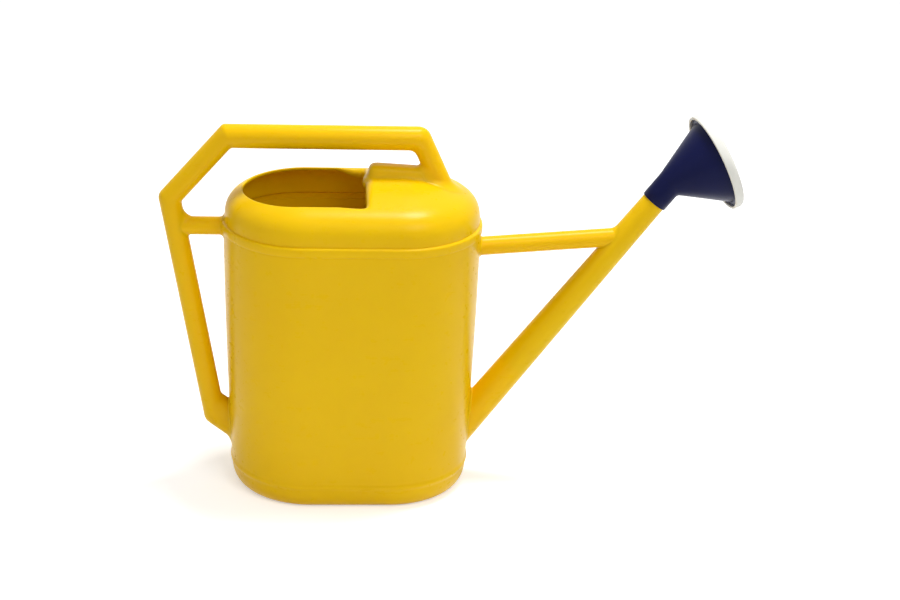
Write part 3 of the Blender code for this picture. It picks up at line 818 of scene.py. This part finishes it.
def cone_rings(sizes, sleeve_radius, cone_radius, cone_length, angles):
    """Rings from the sleeve's end, round the bend, to the cone's end. The bend is a curve
    whose control points are on the sleeve, on the mitre and on the cone."""
    hinge, sleeve_side, cone_side = rose_frame()
    bend = ROSE_ORIGIN + sizes.sleeve * SPOUT_AXIS
    mitre = unit(SPOUT_AXIS + PLATE_AXIS)
    start = ring_points(ROSE_ORIGIN, sleeve_side, hinge, sleeve_radius, angles)
    gap = (bend - start) @ mitre / (SPOUT_AXIS @ mitre)
    middle = start + gap[:, None] * SPOUT_AXIS
    far = bend + cone_length * PLATE_AXIS
    end = ring_points(far, cone_side, hinge, cone_radius, angles)
    run = unit_rows(end - middle)
    before = middle - BEND_ROUND * SPOUT_AXIS
    after = middle + BEND_ROUND * run
    rows = [start, start + 0.5 * (before - start)]
    for share in np.linspace(0.0, 1.0, 7):
        rows.append((1 - share) ** 2 * before + 2 * share * (1 - share) * middle
                    + share**2 * after)
    for share in (0.25, 0.5, 0.75):
        rows.append(after + share * (end - after))
    return rows + [end]


def unit_rows(vectors):
    """Each vector at a length of one."""
    return vectors / np.linalg.norm(vectors, axis=-1, keepdims=True)


def rose_funnel(sizes, spout, columns=96):
    """The rose's funnel: outside of the sleeve and cone, the flange, then the inside back."""
    angles = turns(columns)
    hinge, sleeve_side, side = rose_frame()
    bend = ROSE_ORIGIN + sizes.sleeve * SPOUT_AXIS
    sleeve_in = spout.end_radius + sizes.clearance
    sleeve_out = sleeve_in + sizes.sleeve_wall
    bore = sizes.cone_radius - sizes.wall
    face = sizes.cone + sizes.flange
    outside = cone_rings(
        sizes, sleeve_out, sizes.cone_radius, sizes.cone - FLANGE_STEP, angles
    )
    inside = cone_rings(sizes, sleeve_in, bore, face - FACE_STEP, angles)

    def ring(radius, distance):
        return ring_points(bend + distance * PLATE_AXIS, side, hinge, radius, angles)

    def lip_ring(radius):
        return ring_points(ROSE_ORIGIN, sleeve_side, hinge, radius, angles)

    back = sizes.cone
    rim = sizes.flange_radius
    flange = [
        ring(sizes.cone_radius + CORNER_ROUND, back - CORNER_ROUND),
        ring(sizes.cone_radius + FLANGE_STEP, back),
        ring(rim - EDGE_ROUND, back),
        ring(rim - EDGE_SLOPE, back + EDGE_SLOPE),
        ring(rim, back + EDGE_ROUND),
        ring(rim, face - EDGE_ROUND),
        ring(rim - EDGE_SLOPE, face - EDGE_SLOPE),
        ring(rim - EDGE_ROUND, face),
        ring(bore + FACE_STEP, face),
    ]
    lip_out = outside[0] + CORNER_ROUND * SPOUT_AXIS
    lip = lip_ring(sleeve_out - CORNER_ROUND)
    mouth = [
        inside[0] + MOUTH_ROUND * SPOUT_AXIS,
        lip_ring(sleeve_in + MOUTH_ROUND),
        lip,
    ]
    rows = [lip, lip_out, *outside[1:], *flange, *inside[:0:-1], *mouth]
    return surface("rose_funnel", np.stack(rows), sharp=50.0)


def plate_outline(sizes):
    """The plate's section as radii and heights over the flange's face, from the middle of
    the back round the skirt and the rim's bead to the middle of the crown."""
    inner = sizes.flange_radius + sizes.clearance
    rim = sizes.plate_radius
    back = -sizes.flange - SKIRT_PAST_FLANGE
    roll = (rim - inner) / 2
    shares = np.linspace(0.0, 1.0, 14)
    flat = inner - 2.6 * MM
    under = [(flat * s, PLATE_GAP + sizes.crown * (1 - s**2)) for s in shares]
    skirt = [(inner, PLATE_GAP), (inner, -sizes.flange), (inner, back + SKIRT_ROUND * MM)]
    turn = np.linspace(0.0, math.pi, 9)
    foot = [
        (inner + roll - roll * math.cos(t), back + SKIRT_ROUND * roll * (1 - math.sin(t)))
        for t in turn
    ]
    bead_middle = rim - RIM_WIDTH
    over = np.linspace(0.0, math.pi * 0.80, 16)
    bead = [
        (bead_middle + RIM_WIDTH * math.cos(t), RIM_LIFT + RIM_HEIGHT * math.sin(t))
        for t in over
    ]
    edge, level = bead[-1]
    crown = [
        (edge * s, level - 0.2 * MM * (1 - s) + sizes.crown * (1 - s**2))
        for s in shares[::-1][1:]
    ]
    return np.array(under + skirt + foot[1:] + bead + crown)


def plate_pins(sizes, sides=12):
    """Pins for the holes: rings of 1, 6, 12 and so on, each pin a closed prism."""
    places = [(0.0, 0.0)]
    for ring in range(1, sizes.rings):
        turn = turns(6 * ring)
        reach = ring * sizes.ring_step
        places += list(zip(reach * np.cos(turn), reach * np.sin(turn)))
    round_turn = turns(sides)
    circle = sizes.hole * np.stack([np.cos(round_turn), np.sin(round_turn)], axis=-1)
    shape = bmesh.new()
    for x, y in places:
        ends = []
        for height in PIN_ENDS:
            ends.append([shape.verts.new((x + px, y + py, height)) for px, py in circle])
        for step in range(sides):
            ahead = (step + 1) % sides
            shape.faces.new((ends[0][step], ends[0][ahead], ends[1][ahead], ends[1][step]))
        shape.faces.new(ends[0][::-1])
        shape.faces.new(ends[1])
    mesh = bpy.data.meshes.new("plate_pins")
    shape.to_mesh(mesh)
    shape.free()
    pins = bpy.data.objects.new("plate_pins", mesh)
    bpy.context.scene.collection.objects.link(pins)
    return pins


def rose_plate(sizes, columns=128):
    """The plate: its section turned once, drilled, and set on the end of the funnel."""
    outline = plate_outline(sizes)
    angles = turns(columns)
    radii, heights = outline[:, 0], outline[:, 1]
    grid = np.stack(
        [
            radii[:, None] * np.cos(angles),
            radii[:, None] * np.sin(angles),
            np.broadcast_to(heights[:, None], (len(radii), columns)),
        ],
        axis=-1,
    )
    plate = surface("rose_plate_face", grid)
    pins = plate_pins(sizes)
    cut = plate.modifiers.new("Holes", "BOOLEAN")
    cut.operation = "DIFFERENCE"
    cut.object = pins
    frozen(plate)
    bpy.data.objects.remove(pins)
    _, _, side = rose_frame()
    centre = ROSE_ORIGIN + sizes.sleeve * SPOUT_AXIS + (sizes.cone + sizes.flange) * PLATE_AXIS
    turn = np.eye(4)
    turn[:3, 0] = side
    turn[:3, 1] = np.cross(PLATE_AXIS, side)
    turn[:3, 2] = PLATE_AXIS
    turn[:3, 3] = centre
    plate.data.transform(Matrix(turn.tolist()))
    plate.data.shade_smooth()
    plate.data.set_sharp_from_angle(angle=math.radians(38.0))
    return plate


# Materials ---------------------------------------------------------------------------


def node(tree, kind, place, **settings):
    """A node of this kind at this place in the tree, with its settings."""
    made = tree.nodes.new(kind)
    made.location = (220 * place[0], -200 * place[1])
    for key, value in settings.items():
        setattr(made, key, value)
    return made


def new_group(name, inputs, outputs):
    """An empty node group with named inputs and outputs."""
    tree = bpy.data.node_groups.new(name, "ShaderNodeTree")
    for label, kind, value in inputs:
        socket = tree.interface.new_socket(label, in_out="INPUT", socket_type=kind)
        if value is not None:
            socket.default_value = value
    for label in outputs:
        tree.interface.new_socket(label, in_out="OUTPUT", socket_type="NodeSocketFloat")
    return tree, node(tree, "NodeGroupInput", (-4, 0)), node(tree, "NodeGroupOutput", (6, 0))


def math_node(tree, place, operation, first, second):
    """A Math node whose inputs are sockets or numbers."""
    made = node(tree, "ShaderNodeMath", place, operation=operation)
    for index, value in enumerate((first, second)):
        if isinstance(value, bpy.types.NodeSocket):
            tree.links.new(value, made.inputs[index])
        elif value is not None:
            made.inputs[index].default_value = value
    return made.outputs[0]


def noise(tree, place, vector, scale, detail, rough=0.5):
    """A Noise texture on the vector; its scale is a socket or a number."""
    made = node(tree, "ShaderNodeTexNoise", place)
    tree.links.new(vector, made.inputs["Vector"])
    made.inputs["Detail"].default_value = detail
    made.inputs["Roughness"].default_value = rough
    if isinstance(scale, bpy.types.NodeSocket):
        tree.links.new(scale, made.inputs["Scale"])
    else:
        made.inputs["Scale"].default_value = scale
    return made.outputs["Fac"]


def stretched(tree, place, vector, scale):
    """The vector with each axis multiplied by its own scale."""
    made = node(tree, "ShaderNodeMapping", place)
    made.inputs["Scale"].default_value = scale
    tree.links.new(vector, made.inputs["Vector"])
    return made.outputs["Vector"]


def moulded_skin_group():
    """The skin of moulded plastic: fine grain, slow waves and streaks where it flowed."""
    tree, given, out = new_group(
        "Moulded skin",
        [
            ("Coordinates", "NodeSocketVector", None),
            ("Grain scale", "NodeSocketFloat", 900.0),
            ("Grain", "NodeSocketFloat", 0.004),
            ("Waves", "NodeSocketFloat", 0.25),
            ("Streaks", "NodeSocketFloat", 0.02),
        ],
        ["Height", "Mottle", "Dulling"],
    )
    vector = given.outputs["Coordinates"]
    grain = noise(tree, (-2, 0), vector, given.outputs["Grain scale"], 3.0)
    waves = noise(tree, (-2, 1), vector, 16.0, 1.0)
    flow = stretched(tree, (-3, 2), vector, (14.0, 170.0, 170.0))
    streaks = noise(tree, (-2, 2), flow, 1.0, 2.0)
    mottle = noise(tree, (-2, 3), vector, 9.0, 4.0, 0.6)
    fine = noise(tree, (-2, 4), vector, 140.0, 3.0, 0.6)
    height = math_node(tree, (0, 0), "MULTIPLY", grain, given.outputs["Grain"])
    wave_height = math_node(tree, (0, 1), "MULTIPLY", waves, given.outputs["Waves"])
    streak_height = math_node(tree, (0, 2), "MULTIPLY", streaks, given.outputs["Streaks"])
    height = math_node(tree, (1, 0), "ADD", height, wave_height)
    height = math_node(tree, (2, 0), "ADD", height, streak_height)
    dulling = math_node(tree, (1, 4), "MULTIPLY", fine, streaks)
    tree.links.new(height, out.inputs["Height"])
    tree.links.new(mottle, out.inputs["Mottle"])
    tree.links.new(dulling, out.inputs["Dulling"])
    return tree


def parting_line_group():
    """The fine ridge that the two halves of a mould leave where they close, at y = 0."""
    tree, given, out = new_group(
        "Parting line",
        [("Coordinates", "NodeSocketVector", None), ("Width", "NodeSocketFloat", 0.0005)],
        ["Height", "Mask"],
    )
    split = node(tree, "ShaderNodeSeparateXYZ", (-3, 0))
    tree.links.new(given.outputs["Coordinates"], split.inputs[0])
    distance = math_node(tree, (-2, 0), "ABSOLUTE", split.outputs["Y"], None)
    share = math_node(tree, (-1, 0), "DIVIDE", distance, given.outputs["Width"])
    square = math_node(tree, (0, 0), "MULTIPLY", share, share)
    below = math_node(tree, (1, 0), "MULTIPLY", square, -1.0)
    ridge = math_node(tree, (2, 0), "EXPONENT", below, None)
    broken = noise(tree, (0, 2), given.outputs["Coordinates"], 90.0, 2.0)
    worn = math_node(tree, (3, 1), "MULTIPLY", ridge, broken)
    height = math_node(tree, (4, 0), "MULTIPLY", worn, 0.05)
    tree.links.new(height, out.inputs["Height"])
    tree.links.new(ridge, out.inputs["Mask"])
    return tree


def handling_marks_group():
    """Thin scuffs and dull patches that handling leaves: long cells, seen here and there."""
    tree, given, out = new_group(
        "Handling marks",
        [
            ("Coordinates", "NodeSocketVector", None),
            ("Scale", "NodeSocketFloat", 40.0),
            ("Share", "NodeSocketFloat", 0.55),
        ],
        ["Scuffs", "Dust"],
    )
    vector = given.outputs["Coordinates"]
    long_way = stretched(tree, (-3, 0), vector, (0.25, 1.0, 1.6))
    cells = node(tree, "ShaderNodeTexVoronoi", (-2, 0), feature="DISTANCE_TO_EDGE")
    tree.links.new(long_way, cells.inputs["Vector"])
    tree.links.new(given.outputs["Scale"], cells.inputs["Scale"])
    thin = node(tree, "ShaderNodeMapRange", (-1, 0))
    thin.inputs["From Min"].default_value = 0.0
    thin.inputs["From Max"].default_value = 0.02
    thin.inputs["To Min"].default_value = 1.0
    thin.inputs["To Max"].default_value = 0.0
    tree.links.new(cells.outputs["Distance"], thin.inputs["Value"])
    patches = noise(tree, (-2, 2), vector, 24.0, 3.0)
    seen = math_node(tree, (0, 2), "GREATER_THAN", patches, given.outputs["Share"])
    scuffs = math_node(tree, (1, 0), "MULTIPLY", thin.outputs["Result"], seen)
    dust = noise(tree, (-2, 3), vector, 420.0, 4.0, 0.7)
    specks = math_node(tree, (1, 3), "GREATER_THAN", dust, 0.66)
    tree.links.new(scuffs, out.inputs["Scuffs"])
    tree.links.new(specks, out.inputs["Dust"])
    return tree


def group_node(tree, group, place, vector, **values):
    """A group in a material, reading the vector, with its own values."""
    made = node(tree, "ShaderNodeGroup", place, node_tree=group)
    tree.links.new(vector, made.inputs["Coordinates"])
    for label, value in values.items():
        made.inputs[label.replace("_", " ").capitalize()].default_value = value
    return made


def mix_colours(tree, place, share, first, second):
    """Two colours, or sockets, mixed by a share that varies over the surface."""
    made = node(tree, "ShaderNodeMix", place, data_type="RGBA")
    tree.links.new(share, made.inputs[0])
    for index, value in ((6, first), (7, second)):
        if isinstance(value, bpy.types.NodeSocket):
            tree.links.new(value, made.inputs[index])
        else:
            made.inputs[index].default_value = value
    return made.outputs[2]


def plastic(name, groups, main, deep, rough, skin, marks, seam=True, shine=0.12, depth=0.0):
    """Moulded plastic: two close shades, a varying roughness and a fine relief."""
    material = bpy.data.materials.new(name)
    material.use_nodes = True
    tree = material.node_tree
    tree.nodes.clear()
    place = node(tree, "ShaderNodeTexCoord", (-7, 0))
    vector = place.outputs["Object"]
    surface_group = group_node(tree, groups["skin"], (-5, 0), vector, **skin)
    marks_group = group_node(tree, groups["marks"], (-5, 2), vector, **marks)
    base = mix_colours(tree, (-3, 0), surface_group.outputs["Mottle"], main, deep)
    pale = tuple(0.06 + 0.94 * value for value in main[:3]) + (1.0,)
    faint = math_node(tree, (-4, 2), "MULTIPLY", marks_group.outputs["Scuffs"], 0.03)
    base = mix_colours(tree, (-2, 0), faint, base, pale)
    dull = math_node(tree, (-3, 1), "MULTIPLY", surface_group.outputs["Dulling"], 0.22)
    dull = math_node(tree, (-2, 1), "ADD", dull, rough)
    scuffed = math_node(tree, (-3, 2), "MULTIPLY", marks_group.outputs["Scuffs"], 0.10)
    dull = math_node(tree, (-1, 1), "ADD", dull, scuffed)
    height = surface_group.outputs["Height"]
    if seam:
        line = group_node(tree, groups["seam"], (-5, 4), vector)
        height = math_node(tree, (-2, 3), "ADD", height, line.outputs["Height"])
    sunk = math_node(tree, (-3, 4), "MULTIPLY", marks_group.outputs["Scuffs"], -0.004)
    height = math_node(tree, (-1, 3), "ADD", height, sunk)
    bump = node(tree, "ShaderNodeBump", (0, 3))
    bump.inputs["Strength"].default_value = 1.0
    bump.inputs["Distance"].default_value = MM
    tree.links.new(height, bump.inputs["Height"])
    shader = node(tree, "ShaderNodeBsdfPrincipled", (1, 0))
    shader.inputs["IOR"].default_value = 1.5
    shader.inputs["Specular IOR Level"].default_value = shine
    shader.inputs["Subsurface Weight"].default_value = depth
    shader.inputs["Subsurface Radius"].default_value = (1.0, 0.9, 0.05)
    shader.inputs["Subsurface Scale"].default_value = 6.0 * MM
    tree.links.new(base, shader.inputs["Base Color"])
    tree.links.new(dull, shader.inputs["Roughness"])
    tree.links.new(bump.outputs["Normal"], shader.inputs["Normal"])
    out = node(tree, "ShaderNodeOutputMaterial", (3, 0))
    tree.links.new(shader.outputs["BSDF"], out.inputs["Surface"])
    return material


def plastics(finishes):
    """The three plastics, which share their node groups."""
    known = {name: bpy.data.materials.get(name) for name in ("Can", "Rose", "Plate")}
    if all(known.values()):
        return known
    groups = {
        "skin": moulded_skin_group(),
        "seam": parting_line_group(),
        "marks": handling_marks_group(),
    }
    return {
        "Can": plastic(
            "Can", groups, tuple(finishes.yellow), tuple(finishes.deep_yellow), 0.24,
            {"grain": 0.004, "waves": 0.07, "streaks": 0.008}, {"scale": 42.0}, depth=0.4,
        ),
        "Rose": plastic(
            "Rose", groups, tuple(finishes.navy), tuple(finishes.deep_navy), 0.30,
            {"grain_scale": 1400.0, "grain": 0.006, "waves": 0.05, "streaks": 0.006},
            {"scale": 70.0, "share": 0.6}, seam=False, shine=0.10,
        ),
        "Plate": plastic(
            "Plate", groups, tuple(finishes.white), tuple(finishes.ivory), 0.34,
            {"grain_scale": 1200.0, "grain": 0.004, "waves": 0.05, "streaks": 0.004},
            {"scale": 80.0, "share": 0.55}, seam=False,
        ),
    }


def seen_share(tree):
    """One for the camera's rays, straight, mirrored or passed through, and nought for light."""
    rays = node(tree, "ShaderNodeLightPath", (-4, 0)).outputs
    seen = math_node(tree, (-3, 0), "MAXIMUM", rays["Is Camera Ray"], rays["Is Glossy Ray"])
    return math_node(tree, (-2, 0), "MAXIMUM", seen, rays["Is Transmission Ray"])


def floor_material(tint):
    """A pale floor that the camera sees as near white, with the shadow left on it."""
    material = bpy.data.materials.new("Floor")
    material.use_nodes = True
    tree = material.node_tree
    shader = tree.nodes["Principled BSDF"]
    shader.inputs["Base Color"].default_value = tint
    shader.inputs["Roughness"].default_value = 0.9
    shader.inputs["Specular IOR Level"].default_value = 0.0
    seen = seen_share(tree)
    glow = node(tree, "ShaderNodeEmission", (0, 1))
    glow.inputs["Color"].default_value = (1.0, 1.0, 1.0, 1.0)
    strength = math_node(tree, (-1, 1), "MULTIPLY", seen, FLOOR_GLOW)
    tree.links.new(strength, glow.inputs["Strength"])
    both = node(tree, "ShaderNodeAddShader", (2, 0))
    tree.links.new(shader.outputs["BSDF"], both.inputs[0])
    tree.links.new(glow.outputs["Emission"], both.inputs[1])
    tree.links.new(both.outputs["Shader"], tree.nodes["Material Output"].inputs["Surface"])
    return material


# Stage -------------------------------------------------------------------------------


def area_light(name, place, target, size, energy):
    """A soft square lamp that faces its target."""
    data = bpy.data.lights.new(name, "AREA")
    data.shape = "SQUARE"
    data.size = size
    data.energy = energy
    lamp = bpy.data.objects.new(name, data)
    lamp.location = place
    aim = Vector(target) - Vector(place)
    lamp.rotation_euler = aim.to_track_quat("-Z", "Y").to_euler()
    bpy.context.scene.collection.objects.link(lamp)
    return lamp


def white_world():
    """An even pale sky that the camera sees as white."""
    world = bpy.data.worlds.new("Studio")
    world.use_nodes = True
    tree = world.node_tree
    sky = tree.nodes["Background"]
    sky.inputs["Color"].default_value = (1.0, 1.0, 1.0, 1.0)
    seen = seen_share(tree)
    extra = math_node(tree, (-1, 0), "MULTIPLY", seen, 1.0 - WORLD_LEVEL)
    level = math_node(tree, (0, 0), "ADD", extra, WORLD_LEVEL)
    tree.links.new(level, sky.inputs["Strength"])
    bpy.context.scene.world = world


def studio_floor(tint):
    """A wide floor just under the can, its far side curved up into a backdrop."""
    far, steps, width = 2.2, 12, 4.0
    turn = np.linspace(0.0, math.pi / 2, steps)
    y = np.concatenate([[-3.5], far + np.sin(turn), [far + 1.0]])
    z = np.concatenate([[0.0], 1.0 - np.cos(turn), [3.5]]) - FLOOR_BELOW
    left = np.stack([np.full(y.shape, -width), y, z], axis=-1)
    right = left * np.array((-1.0, 1.0, 1.0))
    count = len(y)
    index = np.arange(count - 1)
    quads = np.stack([index, index + count, index + count + 1, index + 1], axis=-1)
    mesh = bpy.data.meshes.new("studio_floor")
    set_mesh(mesh, np.concatenate([left, right]), quads)
    mesh.shade_smooth()
    mesh.materials.append(floor_material(tint))
    floor = bpy.data.objects.new("studio_floor", mesh)
    bpy.context.scene.collection.objects.link(floor)


def place_camera():
    """A long lens in front of the can, above it and looking down a little."""
    tilt, yaw, roll = 0.403, 0.074, 0.037
    distance, height, aside = 1.800, 0.9687, 0.1004
    right = np.array((math.cos(yaw), -math.sin(yaw), 0.0))
    ahead = np.array((math.sin(yaw), math.cos(yaw), 0.0))
    place = aside * right - distance * ahead + np.array((0.0, 0.0, height))
    forward = math.cos(tilt) * ahead - math.sin(tilt) * np.array((0.0, 0.0, 1.0))
    up = np.cross(right, forward)
    across = math.cos(roll) * right + math.sin(roll) * up
    upright = math.cos(roll) * up - math.sin(roll) * right
    matrix = np.eye(4)
    matrix[:3, 0] = across
    matrix[:3, 1] = upright
    matrix[:3, 2] = -forward
    matrix[:3, 3] = place
    data = bpy.data.cameras.new("camera")
    data.sensor_width = SENSOR
    data.lens = LENS
    camera = bpy.data.objects.new("camera", data)
    camera.matrix_world = Matrix(matrix.tolist())
    bpy.context.scene.collection.objects.link(camera)
    bpy.context.scene.camera = camera


# Operators ---------------------------------------------------------------------------


class MakeCan(Operator):
    """Makes the tank, its shoulder, its deck and its rim"""

    bl_idname = "watering_can.make_can"
    bl_label = "Make the can"

    def execute(self, context):
        sizes = context.scene.can_sizes
        material = plastics(context.scene.finishes)["Can"]
        obj = surface("can_shell", can_skin(sizes))
        wall = obj.modifiers.new("Wall", "SOLIDIFY")
        wall.thickness = sizes.wall
        wall.offset = -1.0
        wall.use_even_offset = False
        wall.use_rim = True
        frozen(obj)
        obj.data.shade_smooth()
        obj.data.set_sharp_from_angle(angle=math.radians(45.0))
        finish_piece(
            obj, "can", "can_plastic", material, "tank_body", "tank_shoulder", "deck_rib"
        )
        return {"FINISHED"}


class MakeHandle(Operator):
    """Makes the loop handle and its bridge"""

    bl_idname = "watering_can.make_handle"
    bl_label = "Make the handle"

    def execute(self, context):
        can, sizes = context.scene.can_sizes, context.scene.handle_sizes
        material = plastics(context.scene.finishes)["Can"]
        loop = handle_loop(can, sizes)
        finish_piece(
            loop, "can", "can_plastic", material, "handle_grip", "handle_rear_slope",
            "handle_rear_strut", "handle_foot", "handle_front_post",
        )
        points, radii = handle_points(can, sizes)
        angles = turns(44)
        level = np.array((-can.front, 0.0, sizes.bridge_height))
        strut_way = unit(points[2] - points[1])
        strut = line_crossing(points[1], strut_way, level, FORWARD)
        middle = (strut + level) / 2
        bridge = tie(
            "handle_bridge_tube",
            (handle_field(points, radii), CanShape(can).field),
            (float(np.linalg.norm(middle - strut)), 0.1),
            middle,
            FORWARD,
            sizes.bridge_radius,
            (
                fillet_round(angles, 10.0 * MM, 3.5 * MM, 1.0 * MM),
                fillet_round(angles, 4.5 * MM, 4.5 * MM, 3.0 * MM),
            ),
            angles,
        )
        finish_piece(bridge, "can", "can_plastic", material, "handle_bridge")
        return {"FINISHED"}


class MakeSpout(Operator):
    """Makes the spout and its brace"""

    bl_idname = "watering_can.make_spout"
    bl_label = "Make the spout"

    def execute(self, context):
        can, sizes = context.scene.can_sizes, context.scene.spout_sizes
        material = plastics(context.scene.finishes)["Can"]
        finish_piece(spout_tube(can, sizes), "can", "can_plastic", material, "spout_tube")
        angles = turns(44)
        axis = np.array((math.cos(sizes.brace_angle), 0.0, math.sin(sizes.brace_angle)))
        start = np.array((can.front, 0.0, sizes.brace_height))
        landing = line_crossing(ROSE_ORIGIN, SPOUT_AXIS, start, axis)
        middle = (start + landing) / 2
        brace = tie(
            "spout_brace_tube",
            (CanShape(can).field, spout_field(sizes)),
            (0.15, float(np.linalg.norm(landing - middle))),
            middle,
            axis,
            sizes.brace_radius,
            (
                fillet_round(angles, 3.5 * MM, 3.5 * MM, 3.0 * MM),
                fillet_round(angles, 4.0 * MM, 2.0 * MM, 1.0 * MM),
            ),
            angles,
        )
        finish_piece(brace, "can", "can_plastic", material, "spout_brace")
        return {"FINISHED"}


class MakeRose(Operator):
    """Makes the rose's funnel and its perforated plate"""

    bl_idname = "watering_can.make_rose"
    bl_label = "Make the rose"

    def execute(self, context):
        sizes, spout = context.scene.rose_sizes, context.scene.spout_sizes
        found = plastics(context.scene.finishes)
        funnel = rose_funnel(sizes, spout)
        finish_piece(funnel, "rose", "rose_plastic", found["Rose"], "rose_cone")
        plate = rose_plate(sizes)
        finish_piece(plate, "plate", "plate_plastic", found["Plate"], "rose_plate")
        return {"FINISHED"}


class MakeStage(Operator):
    """Makes the floor, the lamps and the camera"""

    bl_idname = "watering_can.make_stage"
    bl_label = "Make the stage"

    def execute(self, context):
        studio_floor(tuple(context.scene.finishes.floor))
        white_world()
        for name, place, size, energy in LAMPS:
            area_light(name, place, LAMP_TARGET, size, energy)
        context.scene.view_settings.view_transform = "Standard"
        place_camera()
        return {"FINISHED"}


class WateringCanPanel(Panel):
    """Lists the sizes, the colours and the makers"""

    bl_idname = "VIEW3D_PT_watering_can"
    bl_label = "Watering Can"
    bl_space_type = "VIEW_3D"
    bl_region_type = "UI"
    bl_category = "Watering Can"

    def draw(self, context):
        for maker in MAKERS:
            self.layout.operator(maker.bl_idname)
        for name, group in GROUPS.items():
            box = self.layout.box()
            box.label(text=group.__doc__)
            for prop in group.__annotations__:
                box.prop(getattr(context.scene, name), prop)


GROUPS = {
    "can_sizes": CanSizes,
    "handle_sizes": HandleSizes,
    "spout_sizes": SpoutSizes,
    "rose_sizes": RoseSizes,
    "finishes": Finishes,
}
MAKERS = (MakeCan, MakeHandle, MakeSpout, MakeRose, MakeStage)


def register():
    for group in GROUPS.values():
        bpy.utils.register_class(group)
    for maker in MAKERS + (WateringCanPanel,):
        bpy.utils.register_class(maker)
    for name, group in GROUPS.items():
        setattr(bpy.types.Scene, name, PointerProperty(type=group))


def unregister():
    for name in GROUPS:
        delattr(bpy.types.Scene, name)
    for maker in MAKERS + (WateringCanPanel,):
        bpy.utils.unregister_class(maker)
    for group in GROUPS.values():
        bpy.utils.unregister_class(group)


def main():
    """Registers the classes and makes every piece in order."""
    register()
    bpy.ops.watering_can.make_stage()
    bpy.ops.watering_can.make_can()
    bpy.ops.watering_can.make_handle()
    bpy.ops.watering_can.make_spout()
    bpy.ops.watering_can.make_rose()
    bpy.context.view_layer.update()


if __name__ == "__main__":
    main()
